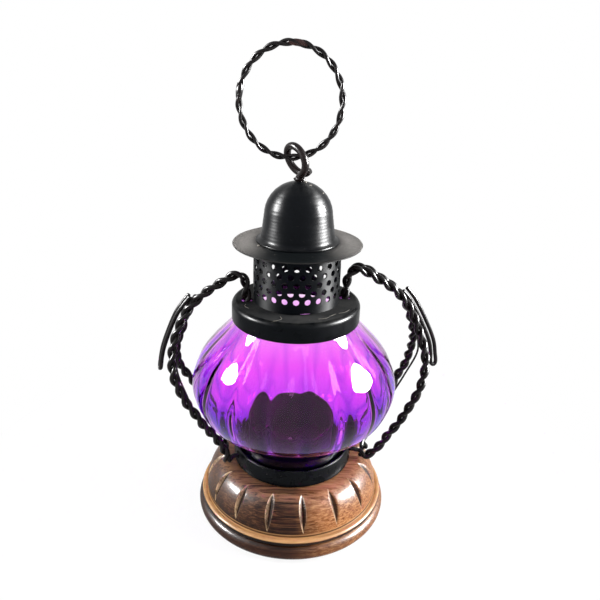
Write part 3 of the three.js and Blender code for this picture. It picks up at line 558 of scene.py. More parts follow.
def violet_glass():
    """Clear glass tinted magenta, with painted light and shade of what shows through it: pale at the upper neck,
    and darker and bluer low down, edge on and along the ribs.
    """
    paint = Paint("violet glass", Transmission_Weight=1.0, IOR=1.3, Roughness=0.0)
    height = paint.axis(paint.place, "Z")
    tint_foot, tint_reach = 34.0, 70.0
    # Painted light and shade: the magenta colour runs from dark blue-violet low down to near white at the upper
    # neck, for what is seen through the glass
    level = paint.calc("DIVIDE", paint.calc("SUBTRACT", height, tint_foot), tint_reach)
    tint_and_shade = paint.ramp(level, (0.0, "9050e0"), (0.13, "cc5ef4"), (0.24, "f06afc"), (0.44, "fc98fd"),
                      (0.66, "ffb0ff"), (0.84, "ffd2ff"), (0.94, "fff0ff"))
    facing = paint.node("LayerWeight", {"Blend": 0.5}).outputs["Facing"]
    # Painted shade: darker and bluer edge on below the shoulder, with darker patches in it
    edge_on_shade = paint.times(paint.span(facing, 0.14, 0.62), paint.span(height, 90, 64))
    tint_and_shade = paint.mix(edge_on_shade, tint_and_shade, (0.34, 0.4, 0.76, 1), "MULTIPLY")
    shade_patches = paint.times(paint.span(paint.noise(0.055, 3, 0.5), 0.5, 0.66), edge_on_shade, 0.8)
    tint_and_shade = paint.mix(shade_patches, tint_and_shade, (0.25, 0.22, 0.7, 1), "MULTIPLY")
    # Painted shade: dark blue-violet lines along the rib valleys, stronger edge on, as refraction would show
    rib_line_shade = paint.times(paint.layer("rib_line_shade"), paint.span(facing, 0.1, 0.6, 0.25, 1.0))
    tint_and_shade = paint.mix(rib_line_shade, tint_and_shade, (0.35, 0.25, 0.8, 1), "MULTIPLY")
    paint.finish(Base_Color=tint_and_shade, Normal=paint.bump(paint.noise(0.05, 2, 0.5), 0.02))
    volume = paint.node("VolumeAbsorption", {"Color": (0.95, 0.3, 1.0, 1.0), "Density": 60.0}).outputs[0]
    feed(paint.tree, paint.tree.nodes["Material Output"].inputs["Volume"], volume)
    return paint.material


def plain(name, code, gloss, **sockets):
    """One colour, mottled."""
    paint = Paint(name, **sockets)
    mottle = paint.noise(1.2, 4, 0.6)
    dark = tuple(0.55 * c for c in rgb(code)[:3]) + (1.0,)
    paint.finish(Base_Color=paint.mix(mottle, dark, code), Roughness=gloss, Normal=paint.bump(mottle, 0.03))
    return paint.material


CUP_ENAMEL = enamel("cup enamel", dust=0.08, gloss=0.24, tone="040506")
# The candle cup is black iron; its plum tone is painted violet light from the glass round it
VIOLET_LIT_CUP_ENAMEL = enamel("candle cup enamel", dust=0.08, gloss=0.3, tone="2a1424", shine=0.03)
COLLAR_ENAMEL = enamel("collar enamel", dust=0.08, gloss=0.26, tone="030506", shine=0.045, dull=0.5)
TUBE_ENAMEL = enamel("gallery enamel", dust=0.08, gloss=0.44, tone="03060a", shine=0.05, brushed=0.85)
CROWN_ENAMEL = enamel("crown enamel", dust=0.04, gloss=0.3, rings=0.014, shine=0.07, brushed=0.7)
HAT_DUST = dusty_hat()
WIRE = wire_coat("wire lacquer")
EYE_WIRE = wire_coat("eye lacquer", 0.06)
WELD = wire_coat("fused wire", 0.45, 0.1)
WOOD = lacquered_wood()
GLASS_TINT = violet_glass()
ZINC = plain("zinced screw", "a9a9a6", 0.35, Metallic=1.0)
GLUE = plain("dried glue", "a8a196", 0.6, Specular_IOR_Level=0.2)
THREAD = plain("pale thread", "857f75", 0.8, Specular_IOR_Level=0.1)


# Turned wooden base

def wooden_base():
    """The turned foot. Its slope is a quarter of an ellipse, and the gouges are leaf-shaped dents in it."""
    pitch, margin, slope_steps = 360 / GOUGES, 3.7, 72
    between = np.linspace(margin, pitch - margin, 12)[1:-1]
    per_gouge = np.concatenate([np.linspace(-margin, margin, 27), between])
    angles = np.radians(np.concatenate([per_gouge + pitch * i for i in range(GOUGES)]) + GOUGE_TURN - 90)
    shelf, slope_foot, run, rise = 30.0, 10.8, 10.6, BASE_TOP - 10.8
    profile = [(0, 0), (20, 0), (38, 0), *arc((41.1, 3.6), (3.6, 3.6), -90, 78, 16),
               *arc((41.8, 8.7), (1.5, 1.5), -38, 118, 10), (41.02, 9.75), (40.95, 10.0), (40.75, 10.3)]
    slope_start = len(profile)
    profile += arc((shelf, slope_foot), (run, rise), 0, 90, slope_steps)
    profile += [(29, BASE_TOP), (20, BASE_TOP), (0, BASE_TOP)]
    verts, faces = lathe(profile, 0, angles=angles)

    depth, side = np.zeros(len(verts)), np.zeros(len(verts))
    lateral = np.radians(np.tile(per_gouge, GOUGES))
    count = len(angles)
    first = 1 + (slope_start - 1) * count
    for row in range(slope_steps + 1):
        turn = 90 * row / slope_steps
        share = (turn - 5) / 77
        if not 0 < share < 1:
            continue
        leaf = sin(pi * share)
        half = 1.75 * leaf ** 0.8
        angle = radians(turn)
        out = np.array([cos(angle) / run, sin(angle) / rise])
        out /= np.linalg.norm(out)
        radius = shelf + run * cos(angle)
        for k in range(count):
            across = ((lateral[k] + pi) % (2 * pi) - pi) * radius
            if abs(across) >= half:
                continue
            i = first + row * count + k
            inward = 1 - abs(across) / half
            fall = 1.5 * leaf * inward ** 0.85
            chatter = 0.12 * sin(share * 95) * leaf if across > 0 else 0.04 * sin(share * 60)
            fall = max(fall + chatter * min(1, 3 * inward), 0)
            heading = atan2(verts[i][1], verts[i][0])
            verts[i] -= fall * np.array([out[0] * cos(heading), out[0] * sin(heading), out[1]])
            depth[i] = leaf * inward
            side[i] = across / half
    piece = add_piece("turned_wood", (verts, faces), WOOD, "lamp", ["wooden_base"], 50)
    store(piece, "gouge", depth)
    store(piece, "side", side)


# Cups and screw

def base_cup():
    """The cup on the wood, a little out of round, with a hole for each guard's lower hook."""
    low, high = CUP_FLOOR, CUP_TOP
    profile = [(0, low), *rounded([(CUP_RADIUS - 0.4, low, 0.9), (CUP_RADIUS, low + 1.0, 0.8),
                                   (CUP_MOUTH_RADIUS, high, 0.35), (CUP_MOUTH_RADIUS - SHEET, high, 0.35),
                                   (CUP_RADIUS - SHEET - 0.2, low + SHEET, 0.9)]), (0, low + SHEET)]
    verts, faces = lathe(profile, 128)
    for i, (x, y, z) in enumerate(verts):
        radius = hypot(x, y)
        if radius > 20 and z > low + 2:
            dent = 1 - 0.006 * (z - low) / 7.6 * (0.5 + 0.5 * bumpy(x, y, 0, 14))
            verts[i] = (x * dent, y * dent, z)
    piece = add_piece("iron_base_cup", (verts, faces), CUP_ENAMEL, "lamp", ["base_cup"])
    bores = [((0, 0, low), (0, 0, 1), SCREW_BORE, 4)]
    for turn, front in ((GUARD_TURN, -1), (GUARD_TURN + 180, 1)):
        hook = radians(turn) + front * atan2(7, CUP_RADIUS - 2.2)
        way = (cos(hook), sin(hook), 0)
        bores.append(((way[0] * 27, way[1] * 27, low + 4.6), way, 1.7, 6))
    bored(piece, bores)


def candle_cup():
    low, high = GLOBE_FOOT, top("candle_cup")
    profile = [(0, low), *rounded([(18.9, low, 0.9), (19.6, low + 1.3, 0.8), (19.8, high - 1.7, 0.6),
                                   (20.65, high - 0.8, 0.6), (20.0, high, 0.4), (19.3, high - 0.4, 0.5),
                                   (18.9, low + 1.7, 0.9), (18.0, low + SHEET, 0.6)]), (0, low + SHEET)]
    shape = lathe(profile, 96)
    piece = add_piece("iron_candle_cup", shape, VIOLET_LIT_CUP_ENAMEL, "lamp", ["candle_cup"])
    bored(piece, [((0, 0, low), (0, 0, 1), SCREW_BORE, 4)])


def base_screw():
    seat = top("base_screw") - 1.6
    profile = [(0, seat - 15), *rounded([(1.6, seat - 11, 0.5), (1.6, seat, 0), (3.4, seat, 0.2),
                                         (3.0, seat + 0.9, 0.5), (1.6, seat + 1.6, 0.5)]), (0, seat + 1.6)]
    add_piece("wood_screw", lathe(profile, 40), ZINC, "lamp", ["base_screw"])


# Globe

def globe_outline(rows):
    """The glass outline from neck to neck, a touch fuller in the shoulder than the model's."""
    knots = [(LOWER_NECK_RADIUS, 10.5), (LOWER_NECK_RADIUS + 3.6, 16.5), (36.9, 21.3), (42.8, 27.7),
             (GLOBE_RADIUS, 38.5), (43.1, 48.9), (38.6, 55.9), (UPPER_NECK_RADIUS + 3.5, 65.2),
             (UPPER_NECK_RADIUS, 69.4)]
    knots = [np.array((r, z + GLOBE_FOOT)) for r, z in knots]
    ends = [knots[0], *knots, knots[-1]]
    dense = []
    for p0, p1, p2, p3 in zip(ends, ends[1:], ends[2:], ends[3:]):
        m1, m2 = (p2 - p0) / 2, (p3 - p1) / 2
        dense += [hermite(p1, p2, m1, m2, t) for t in np.linspace(0, 1, 40, endpoint=False)]
    return [tuple(spot) for spot in Line(dense + [knots[-1]]).at(np.linspace(0, 1, rows + 1))]


def swell(height):
    """How far the ribs stand out: 0 at the necks and 1 midway."""
    share = min(max((height - LOWER_NECK_TOP) / (UPPER_NECK_FOOT - LOWER_NECK_TOP), 0), 1)
    return sin(pi * share)


def globe():
    outline = globe_outline(72)
    outer = [(LOWER_NECK_RADIUS - 0.9, GLOBE_FOOT), (LOWER_NECK_RADIUS - 0.25, GLOBE_FOOT + 0.25),
             (LOWER_NECK_RADIUS, GLOBE_FOOT + 0.9), (LOWER_NECK_RADIUS, GLOBE_FOOT + 5), *outline,
             (UPPER_NECK_RADIUS, GLOBE_TOP - 1.2), (UPPER_NECK_RADIUS - 0.5, GLOBE_TOP - 0.2),
             (UPPER_NECK_RADIUS - 1.0, GLOBE_TOP)]
    inner = [(r - GLASS - RIB_DEPTH * 0.12 * swell(z), z) for r, z in outline]
    inner = [(UPPER_NECK_RADIUS - GLASS, GLOBE_TOP), *reversed(inner),
             (LOWER_NECK_RADIUS - GLASS, GLOBE_FOOT + 5), (LOWER_NECK_RADIUS - GLASS, GLOBE_FOOT)]
    verts, faces = lathe(outer + inner, RIBS * RIB_STEPS, closed=True)
    # A weight in each rib valley, for the painted shade lines of the glass
    rib_line_shade = np.zeros(len(verts))
    outside = len(outer) * RIBS * RIB_STEPS
    turn = radians(RIB_TURN)
    for i, (x, y, z) in enumerate(verts):
        radius = hypot(x, y)
        groove = abs(cos(RIBS / 2 * (atan2(y, x) - turn + pi / 2)))
        share = swell(z)
        pinch = share * (0.02 * groove ** 8 if i < outside else 1.4 * groove ** 5)
        scale = 1 - pinch / radius
        verts[i] = (x * scale, y * scale, z)
        rib_line_shade[i] = groove ** 14 * min(1, 1.6 * share)
    piece = add_piece("ribbed_glass", (verts, faces), GLASS_TINT, "lamp", ["globe"], 80)
    store(piece, "rib_line_shade", rib_line_shade)


# Collar

def collar():
    low, high = COLLAR_FOOT, COLLAR_TOP
    outer, inner = 2.2, 2.2 - SHEET
    profile = [(COLLAR_RADIUS - SHEET + 0.1, low), (COLLAR_RADIUS - 0.2, low), (COLLAR_RADIUS, low + 0.2),
               (COLLAR_RADIUS, low + 3), *arc((COLLAR_RADIUS - outer, high - outer), (outer, outer), 0, 90, 12),
               (24, high), (20, high),
               (COLLAR_OPENING, high), (COLLAR_OPENING, high - SHEET), (21, high - SHEET),
               *arc((COLLAR_RADIUS - outer, high - outer), (inner, inner), 90, 0, 8),
               (COLLAR_RADIUS - SHEET, low + 3), (COLLAR_RADIUS - SHEET, low + 0.1)]
    shape = lathe(profile, 160, closed=True)
    piece = add_piece("iron_collar", shape, COLLAR_ENAMEL, "lamp", ["collar"])
    bores = []
    for turn in (GUARD_TURN, GUARD_TURN + 180):
        angle = radians(turn)
        bores.append(((HOOK_CIRCLE * cos(angle), HOOK_CIRCLE * sin(angle), high - 1), (0, 0, 1), 2.6, 6))
    bored(piece, bores)


# Perforated gallery

def gallery_tube():
    """A sheet with staggered holes, meshed flat as a cell round each hole, then bent round and made solid."""
    step, first, bore = 3.55, 5.1, 1.35
    half_width = GALLERY_RADIUS * pi / GALLERY_COLUMNS
    height = GALLERY_TOP - GALLERY_FOOT
    index, verts, faces = {}, [], []

    def vertex(x, z):
        key = (round(x * 16 / (2 * half_width)) % (16 * GALLERY_COLUMNS), round(z, 4))
        if key not in index:
            index[key] = len(verts)
            verts.append((x, z))
        return index[key]

    def loose(x, z):
        verts.append((x, z))
        return len(verts) - 1

    quarters = range(4)
    rim = [(half_width, -step / 2 + step * k / 4) for k in quarters]
    rim += [(half_width - 2 * half_width * k / 4, step / 2) for k in quarters]
    rim += [(-half_width, step / 2 - step * k / 4) for k in quarters]
    rim += [(-half_width + 2 * half_width * k / 4, -step / 2) for k in quarters]
    for row in range(GALLERY_ROWS):
        for column in range(GALLERY_COLUMNS):
            cx = (column + (row % 2) / 2) * 2 * half_width
            cz = first + row * step
            edge, hole = [], []
            for x, z in rim:
                edge.append(vertex(cx + x, cz + z))
                reach = hypot(x, z)
                hole.append(loose(cx + x / reach * bore, cz + z / reach * bore))
            for k in range(16):
                n = (k + 1) % 16
                faces.append((edge[k], edge[n], hole[n], hole[k]))
    bands = [(0, first - step / 2, 0, 4),
             (first + (GALLERY_ROWS - 0.5) * step, height, (GALLERY_ROWS - 1) % 2 / 2, 2)]
    for low, high, shift, count in bands:
        levels = np.linspace(low, high, count + 1)
        for z0, z1 in zip(levels, levels[1:]):
            for k in range(4 * GALLERY_COLUMNS):
                x0, x1 = ((q / 4 + shift - 0.5) * 2 * half_width for q in (k, k + 1))
                faces.append((vertex(x0, z0), vertex(x1, z0), vertex(x1, z1), vertex(x0, z1)))

    bent = []
    for x, z in verts:
        angle = x / GALLERY_RADIUS
        lift = 0.0
        if z < 2.5:
            lift = (1 - z / 2.5) * max(0, 0.9 * bumpy(cos(angle) * 6, sin(angle) * 6, 0, 3, 4.0))
        radius = GALLERY_RADIUS - 0.12 * (1 + bumpy(cos(angle) * 18, sin(angle) * 18, z, 7))
        bent.append((radius * cos(angle), radius * sin(angle), GALLERY_FOOT + z + lift))
    piece = add_piece("gallery_sheet", (bent, faces), TUBE_ENAMEL, "lamp", ["gallery_tube"])
    wall = piece.modifiers.new("wall", "SOLIDIFY")
    wall.thickness = GALLERY_WALL * MM
    wall.offset = -1
    bake_modifiers(piece)
    smooth(piece, 40)


def gallery_tabs():
    """Four tabs that are folded out under the collar."""
    tabs = []
    thick, half_width, fold = 0.6, 2.0, 2.4
    reach = sqrt((COLLAR_OPENING - 0.3) ** 2 - half_width ** 2)
    low = GALLERY_FOOT - SHEET - 1.2
    for i in range(4):
        turn = radians(45 + 90 * i)
        line = [(reach - thick, low), (reach + fold, low), (reach + fold, low + thick), (reach, low + thick),
                (reach, GALLERY_FOOT + 0.25), (reach - thick, GALLERY_FOOT + 0.6)]
        ring = [(x * cos(turn) - y * sin(turn), x * sin(turn) + y * cos(turn), z)
                for y in (-half_width, half_width) for x, z in line]
        n = len(line)
        sides = [(k, (k + 1) % n, n + (k + 1) % n, n + k) for k in range(n)]
        tabs.append((np.array(ring), [*sides, tuple(range(n))[::-1], tuple(range(n, 2 * n))]))
    add_piece("gallery_tabs", join(*tabs), TUBE_ENAMEL, "lamp")


# Hat

def brim():
    """The dished brim, wavy towards its edge, with a small kink at the right."""
    sheet = HAT_SHEET
    base = BRIM_TOP - sheet
    edge = base - 0.45
    control = np.array([(GALLERY_RADIUS + 1, base), (BRIM_RADIUS - 3, base - 0.9), (BRIM_RADIUS - 0.5, edge)])
    under = [tuple((1 - t) ** 2 * control[0] + 2 * t * (1 - t) * control[1] + t * t * control[2])
             for t in np.linspace(0, 1, 15)]
    rim = [(BRIM_RADIUS - 0.18, edge + 0.08), (BRIM_RADIUS, edge + sheet / 2),
           (BRIM_RADIUS - 0.18, edge + sheet - 0.08)]
    profile = [(13, base), (16, base), *under, *rim, *[(r, z + sheet) for r, z in reversed(under)],
               (16, base + sheet), (13, base + sheet)]
    verts, faces = lathe(profile, 192, closed=True)
    for i, (x, y, z) in enumerate(verts):
        radius, angle = hypot(x, y), atan2(y, x)
        outer = max(0, (radius - 20) / 7.3)
        wobble = 0.16 * outer * bumpy(cos(angle) * 8, sin(angle) * 8, 0, 5, 1.3) - 0.16 * outer
        away = (angle - radians(-14) + pi) % (2 * pi) - pi
        kink = 0.55 * outer ** 2 * exp(-(away / 0.09) ** 2)
        shrink = 1 - 0.012 * outer ** 2 * exp(-(away / 0.07) ** 2)
        verts[i] = (x * shrink, y * shrink, z + wobble - kink)
    add_piece("dished_brim", (verts, faces), HAT_DUST, "lamp", ["hat_brim"], 60)


def crown():
    """The domed crown, with faint ripples from spinning."""
    sheet = HAT_SHEET
    low, flare = CROWN_FOOT, 2.0
    bend = low + 0.5 + flare
    dome = CROWN_TOP - CROWN_DOME
    hole = degrees(acos(1.7 / CROWN_SHOULDER))
    inner = CROWN_RADIUS - sheet
    taper = [(CROWN_RADIUS + (CROWN_SHOULDER - CROWN_RADIUS) * t, bend + (dome - bend) * t)
             for t in np.linspace(0, 1, 13)[1:-1]]
    slim = [(r * (1 - 0.03 * sin(2 * asin(min((z - dome) / CROWN_DOME, 1)))), z)
            for r, z in arc((0, dome), (CROWN_SHOULDER, CROWN_DOME), 0, hole, 34)]
    profile = [(inner, low), (CROWN_RADIUS + flare, low), (CROWN_RADIUS + flare, low + 0.35),
               *arc((CROWN_RADIUS + flare, bend), (flare, flare), -92, -180, 8), *taper, *slim,
               *arc((0, dome), (CROWN_SHOULDER - sheet, CROWN_DOME - sheet), hole, 0, 18), (inner, bend)]
    verts, faces = lathe(profile, 144, closed=True)
    for i, (x, y, z) in enumerate(verts):
        radius = hypot(x, y)
        if radius < 1e-6 or z < low + 1:
            continue
        ripple = 0.035 * sin((z - low) * 3.1) + 0.05 * (bumpy(x, y, z, 9) - 1)
        scale = 1 + (ripple - 0.04) / max(radius, 4)
        verts[i] = (x * scale, y * scale, z)
    add_piece("domed_crown", (verts, faces), CROWN_ENAMEL, "lamp", ["hat_crown"], 45)


# Eye and hanging ring

def eye():
    """A stout wire, clinched inside the crown, up through it and round into an eye that leans to the left."""
    turn, radius, lift, wire, lean = radians(-44), 5.5, 8.2, 1.5, 0.27
    start, sweep, shift, steps = -50, 312, 2.7, 12
    centre = CROWN_TOP + lift
    across = np.array([cos(turn), sin(turn), 0])
    along = np.array([-across[1], across[0], 0])

    def place(reach, height, aside=0.0):
        return across * reach + along * aside + np.array([0, 0, height])

    dome = CROWN_DOME - HAT_SHEET
    under = CROWN_TOP - CROWN_DOME + dome * sqrt(1 - (5 / (CROWN_SHOULDER - HAT_SHEET)) ** 2)
    clinch = under - 1.3 - 0.3
    points = [place(-5, clinch - 0.4), place(-2.5, clinch - 0.1), place(-0.5, clinch + 0.5),
              place(0, clinch + 2.2), place(0, CROWN_TOP + 0.9)]
    for i in range(steps + 1):
        angle = radians(start + sweep * i / steps)
        points.append(place(radius * cos(angle), centre + radius * sin(angle), shift * i / steps))
    points += [place(2.1, centre - radius + 0.4, shift), place(4.2, centre - radius + 1.7, shift)]
    shares = np.linspace(0, 1, 150)
    line = curve(points).at(shares)
    line[:, 0] -= lean * np.maximum(line[:, 2] - CROWN_TOP, 0)
    shape = tube(line, wire + 0.02 * np.sin(shares * 40), 20)
    add_piece("bent_eye", shape, EYE_WIRE, "eye", ["eye_pin"])
    root = lump((0, 0, CROWN_TOP + 0.9), (2.3, 2.3, 1.0), 0.25, 3.0)
    add_piece("eye_root", root, EYE_WIRE, "eye")


def lump(centre, size, rough, seed):
    """A small uneven blob."""
    verts, faces = lathe(arc((0, 0), (1, 1), -90, 90, 12), 20)
    for i, (x, y, z) in enumerate(verts):
        swell = 1 + rough * bumpy(x, y, z, 0.6, seed)
        verts[i] = np.array(centre) + np.array(size) * (x * swell, y * swell, z * swell)
    return verts, faces


def litter():
    """Fibres that lie on the collar, and specks of dried glue on the hat."""
    up = COLLAR_TOP + 0.14
    fibres = [[(-6.2, -20.4), (-5.6, -22.4), (-7.0, -24.2), (-8.9, -25.0)],
              [(9.2, -21.8), (12.4, -20.6), (14.6, -17.9), (16.4, -16.2)],
              [(-19.6, -12.8), (-21.4, -10.4), (-21.2, -8.2)], [(17.8, -15.4), (20.6, -13.8), (22.4, -11.2)]]
    for i, bends in enumerate(fibres):
        route = curve([(x, y, up) for x, y in bends])
        add_piece(f"fibre_{i}", tube(route.at(np.linspace(0, 1, 40)), 0.08, 8), THREAD, "lamp")
    specks = [((9.6, -3.0, 152.6), (0.4, 0.4, 0.35)), ((4.5, -3.0, 155.6), (0.5, 0.45, 0.3)),
              ((-15.9, -9.2, BRIM_TOP + 0.1), (0.6, 0.5, 0.3)), ((2.6, -1.6, CROWN_TOP), (0.5, 0.5, 0.35))]
    for i, (centre, size) in enumerate(specks):
        add_piece(f"glue_speck_{i}", lump(centre, size, 0.3, 5.0 + i), GLUE, "lamp")


RING_SEAT = 166.38
RING_SHIFT = -4.2
RING_HALF_WIDTH = 20
RING_HALF_HEIGHT = 21.2
RING_GAP = 176.8
RING_WIRE = 1.4
RING_SPREAD = 0.75


def ring():
    """The oval ring of two wires, open by a hair at its left, with a fused spot and a lump at the joint."""
    drop = RING_HALF_HEIGHT * sqrt(1 - (RING_SHIFT / RING_HALF_WIDTH) ** 2)
    centre = (RING_SHIFT, 0.675, RING_SEAT + drop)

    def oval(start, end, steps):
        turns = np.radians(np.linspace(start, end, steps))
        return [(centre[0] + RING_HALF_WIDTH * cos(t), centre[1], centre[2] + RING_HALF_HEIGHT * sin(t))
                for t in turns]

    route = Line(oval(RING_GAP, RING_GAP + 358.4, 2000))
    for k, name in enumerate("ab"):
        shape = tube(strand(route, route.length / 10, RING_SPREAD, k * pi, steps=26), RING_WIRE / 2, 14)
        add_piece(f"ring_strand_{name}", shape, WIRE, "ring", [f"ring_wire_{name}"])
    lumps = [("ring_weld", 73, 94, 1.3, WELD), ("ring_joint", 163, 181, 1.36, WIRE)]
    for name, start, end, width, coat in lumps:
        line = oval(start, end, 40)
        ease = np.sin(np.linspace(0.12, pi - 0.12, 40)) ** 0.35
        radii = [width * e * (1 + 0.08 * bumpy(*spot, 1.6, start)) for e, spot in zip(ease, line)]
        add_piece(name, tube(line, radii, 18), coat, "ring")


# Guards, in the model's own points: out from the axis, towards the front, and up

def by_collar(out, front, up):
    return HOOK_CIRCLE + out, front, COLLAR_TOP + up


def by_cup(out, front, up):
    return CUP_RADIUS + out, front, CUP_FLOOR + up


def beside(out, front, share):
    """Beside the globe: the share is 1 at the collar's top, 0 at the equator and -1 at the cup's floor."""
    reach = COLLAR_TOP - EQUATOR if share > 0 else EQUATOR - CUP_FLOOR
    return GLOBE_RADIUS + out, front, EQUATOR + share * reach


def places(collar_points=(), side_points=(), cup_points=()):
    return ([by_collar(*p) for p in collar_points] + [beside(*p) for p in side_points]
            + [by_cup(*p) for p in cup_points])


TOP_HOOK = places([(-3.9, 0, -5.2), (-1.6, 0, -3.9), (-0.1, 0, -1), (0.3, 0, 5.5)])
BOTTOM_HOOK = places(cup_points=[(3, 8.5, 3.2), (0.7, 7.8, 4.5), (-2.2, 7, 4.6)])

GUARDS = [
    dict(
        name="guard_right", turn=GUARD_TURN, front=-1, tail_turn=0,
        front_pair=TOP_HOOK + places(
            [(1.8, 0.7, 11.7), (5.3, 1.4, 13.4), (14.8, 2.3, 8.5)],
            [(-2.7, 2.4, 1.091), (4.1, 2.9, 0.899), (8.3, 5, 0.677), (10.6, 8.5, 0.482), (11.4, 11.7, 0.301),
             (9.5, 14, 0.033), (6.9, 14.2, -0.144), (4, 14, -0.295), (1, 13.5, -0.456), (-2.8, 12.8, -0.605)],
            [(11.9, 11.8, 8.8), (8, 10.6, 3.7), (5.7, 9.6, 1.6)]) + BOTTOM_HOOK,
        rear_pair=places(
            [(3.4, -3.9, 11.4), (7.4, -3.3, 12.9), (14.8, -2.3, 8.7)],
            [(-2.7, -2.3, 1.098), (3.8, -2.6, 0.909), (9.8, -4.6, 0.528), (11.2, -8, 0.311),
             (11.2, -10.5, 0.152), (10.5, -12.5, -0.023),
             (8.1, -14, -0.189), (6.2, -14.5, -0.327), (3.2, -14.3, -0.491)],
            [(17.3, -13.2, 14.7), (13, -10.5, 9.7), (9.5, -6, 5.7), (7.4, -1, 3), (6.7, 4.2, 1.9)]),
        tail=places((), [(2.6, 0, 1.078), (6.1, 0, 0.972), (12.8, 0, 0.682), (17.8, 0, 0.404),
                         (19.7, 0, 0.136)]),
        tie=places((), [(8, 0, 0.758), (11, 0, 0.455), (11.4, 0, 0.285), (6.6, 0, 0), (2.2, 0, -0.224)])),
    dict(
        name="guard_left", turn=GUARD_TURN + 180, front=1, tail_turn=75,
        front_pair=TOP_HOOK + places(
            [(1.6, 0.3, 10.6), (4.8, 0.6, 11.6), (10.4, 1, 8.8)],
            [(-4.6, 1.5, 1.056), (1.7, 3, 0.871), (5.7, 5.5, 0.669), (7.6, 9, 0.477), (7.3, 11.5, 0.253),
             (4.8, 12.5, 0.071), (2.1, 13, -0.076), (-1.1, 13.5, -0.199), (-5, 13, -0.378)],
            [(9.2, 12, 18.7), (5.9, 11, 12.6), (3.7, 10, 6.8), (3.5, 9.4, 3.6)]) + BOTTOM_HOOK,
        rear_pair=places(
            (),
            [(-2.6, -2.1, 1.028), (1.3, -3, 0.859), (3.1, -2.9, 0.692), (6.2, -5, 0.457), (6.9, -7.5, 0.285),
             (5.5, -10, 0.086), (1.2, -12, -0.108), (-1.1, -12.7, -0.227), (-4.4, -12.8, -0.39)],
            [(9.7, -12, 18.2), (6.4, -10, 12.2), (4.7, -6, 7), (4.4, -1.5, 3.6), (4.6, 2.6, 2.6)]),
        tail=places((), [(-0.3, 0.2, 1.063), (4.7, 0, 0.896), (8.9, 0, 0.667), (12.2, 0, 0.427),
                         (13.6, 0, 0.227)]),
        tie=places((), [(4.6, -0.9, 0.657), (6.7, -0.9, 0.177), (2.2, -0.5, -0.227)])),
]

GUARD_WIRE = 1.8
ROPE_WIRE = 2.06
ROPE_SPREAD = 1.06
GUARD_PITCH = 12.4
TIE_WIRE = 0.9
TAIL_SPACING = 2.1
HOOK_END = 7


def hairpin(route, flat_turn):
    """One wire down and back along the route, with a round bend at its end. flat_turn turns its flat side."""
    rows = 8
    down, back = [], []
    for i in range(rows + 1):
        share = i / rows
        ends = route.at(np.array([max(share - 0.002, 0), min(share + 0.002, 1)]))
        tangent = (ends[1] - ends[0]) / np.linalg.norm(ends[1] - ends[0])
        side = np.cross((0, 1, 0), tangent)
        side /= np.linalg.norm(side)
        side = np.array(Matrix.Rotation(radians(flat_turn), 3, Vector(tangent)) @ Vector(side))
        point = route.at(np.array([share]))[0]
        down.append(point + side * TAIL_SPACING / 2)
        back.insert(0, point - side * TAIL_SPACING / 2)
    tip = route.at(np.array([1.0]))[0] + tangent * TAIL_SPACING / 2
    return curve([*down, tip, *back])


def guard(name, turn, front, tail_turn, front_pair, rear_pair, tail, tie):
    """Two twisted pairs, a hairpin tail and a thin binding. Before the turn, front is the sign of y in front."""
    swing = np.array(Matrix.Rotation(radians(turn), 3, "Z"))

    def route(points):
        return curve([(out, front * forward, up) for out, forward, up in points])

    def bend(part, line, width, sides):
        verts, faces = tube(line, width / 2, sides)
        add_piece(f"{name}_wire_{part}", (verts @ swing.T, faces), WIRE, name, [f"{name}_{part}"])

    front_route, rear_route = route(front_pair), route(rear_pair)
    knob = 1 - HOOK_END / front_route.length
    strands = [("front_a", front_route, 0, 1, knob), ("front_b", front_route, pi, knob, 1),
               ("rear_a", rear_route, 0, 1, 1), ("rear_b", rear_route, pi, 1, 1)]
    for part, path, phase, reach, gather in strands:
        line = strand(path, GUARD_PITCH, ROPE_SPREAD, phase, reach, gather)
        bend(part, line, ROPE_WIRE, 16)
    pin = hairpin(route(tail), tail_turn)
    bend("tail", pin.at(np.linspace(0, 1, 140)), GUARD_WIRE, 14)
    binding = route(tie)
    bend("binding", binding.at(np.linspace(0, 1, 70)), TIE_WIRE, 10)


# Floor, background, lamps and camera. Lamps and camera stand in metres.

def surroundings():
    """A pale floor that keeps its shadow and fades to white, and a background that is white where it shows."""
    half = 3000
    corners = [(-half, -half, 0), (half, -half, 0), (half, half, 0), (-half, half, 0)]
    mesh = add_mesh("floor", corners, [(0, 1, 2, 3)])
    floor = add_object("floor", mesh)
    floor.location.z = -0.2 * MM
    material = bpy.data.materials.new("pale floor")
    material.use_nodes = True
    mesh.materials.append(material)
    tree = material.node_tree
    shader = tree.nodes["Principled BSDF"]
    feed(tree, shader.inputs["Base Color"], (0.86, 0.86, 0.86, 1))
    feed(tree, shader.inputs["Roughness"], 0.9)
    spot = node(tree, "TexCoord").outputs["Object"]
    away = node(tree, "VectorMath", {0: spot}, operation="LENGTH").outputs["Value"]
    fade = node(tree, "MapRange", {0: away, 1: 0.05, 2: 0.17, 3: 0.86, 4: 1.0}).outputs[0]
    glow = node(tree, "Emission").outputs[0]
    show(tree, "Material Output", fade, shader.outputs[0], glow)
    floor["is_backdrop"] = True

    world = bpy.data.worlds.new("studio")
    bpy.context.scene.world = world
    world.use_nodes = True
    tree = world.node_tree
    ambient = tree.nodes["Background"]
    feed(tree, ambient.inputs["Color"], (0.97, 0.98, 1.0, 1))
    feed(tree, ambient.inputs["Strength"], 0.5)
    white = node(tree, "Background", {"Color": (1, 1, 1, 1)}).outputs[0]
    show(tree, "World Output", 1.0, ambient.outputs[0], white)


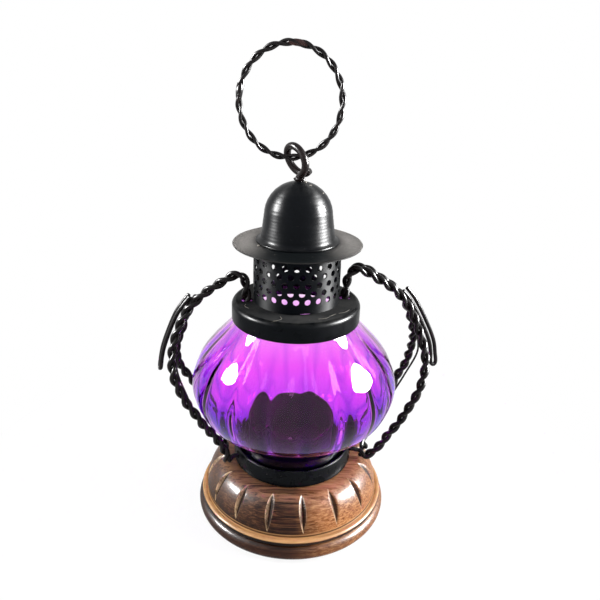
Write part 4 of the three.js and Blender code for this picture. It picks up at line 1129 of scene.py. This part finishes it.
def show(tree, output, share, lit, seen):
    """Sends out the lit shader, with a share of the seen one in what the camera, gloss or the glass shows."""
    rays = node(tree, "LightPath").outputs
    direct = rays["Is Camera Ray"]
    for name in ("Is Glossy Ray", "Is Transmission Ray"):
        direct = node(tree, "Math", {0: direct, 1: rays[name]}, operation="MAXIMUM").outputs[0]
    share = node(tree, "Math", {0: direct, 1: share}, operation="MULTIPLY").outputs[0]
    mixed = node(tree, "MixShader", {0: share, 1: lit, 2: seen}).outputs[0]
    feed(tree, tree.nodes[output].inputs["Surface"], mixed)


def lamp(name, place, width, watts, aim_height=0.09, glint=False):
    """A soft round lamp, aimed at the lantern's axis. A glint is a small bright one that only gloss shows, and
    the others light things."""
    light = bpy.data.lights.new(name, "AREA")
    light.shape = "DISK"
    light.size = width
    light.energy = watts
    stand = add_object(name, light)
    stand.location = place
    direction = Vector((0, 0, aim_height)) - Vector(place)
    stand.rotation_euler = direction.to_track_quat("-Z", "Y").to_euler()
    stand.visible_diffuse = not glint
    stand.visible_glossy = glint


def camera():
    """The photo's camera, fitted to the round pieces."""
    lens = bpy.data.cameras.new("camera")
    lens.lens = 36.99
    lens.sensor_width = 36
    lens.shift_x = 0.0065
    lens.shift_y = 0.0018
    lens.clip_start = 0.01
    stand = add_object("camera", lens)
    tilt = Euler((radians(67.61), 0, 0)).to_matrix().to_4x4()
    roll = Matrix.Rotation(radians(1.59), 4, "Z")
    stand.matrix_world = Matrix.Translation((0, -0.24817, 0.20658)) @ tilt @ roll
    bpy.context.scene.camera = stand


for build in (wooden_base, base_cup, candle_cup, base_screw, globe, collar, gallery_tube, gallery_tabs,
              brim, crown, eye, litter, ring):
    build()
for sizes in GUARDS:
    guard(**sizes)

surroundings()
lamp("left lamp", (-0.700, -0.047, 0.440), 0.26, 4.2)
lamp("right lamp", (0.700, -0.047, 0.324), 0.35, 5.0)
lamp("front fill", (0.1, -0.9, 0.9), 0.5, 3.6, aim_height=0.08)
lamp("left glint", (-0.600, -0.040, 0.375), 0.20, 47, glint=True)
lamp("right glint", (0.600, -0.020, 0.300), 0.31, 114, glint=True)
camera()
bpy.context.scene.view_settings.view_transform = "Standard"

sizes = {"cad": [list(corner) for corner in cad_bounds], "visual": [list(corner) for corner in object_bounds()]}
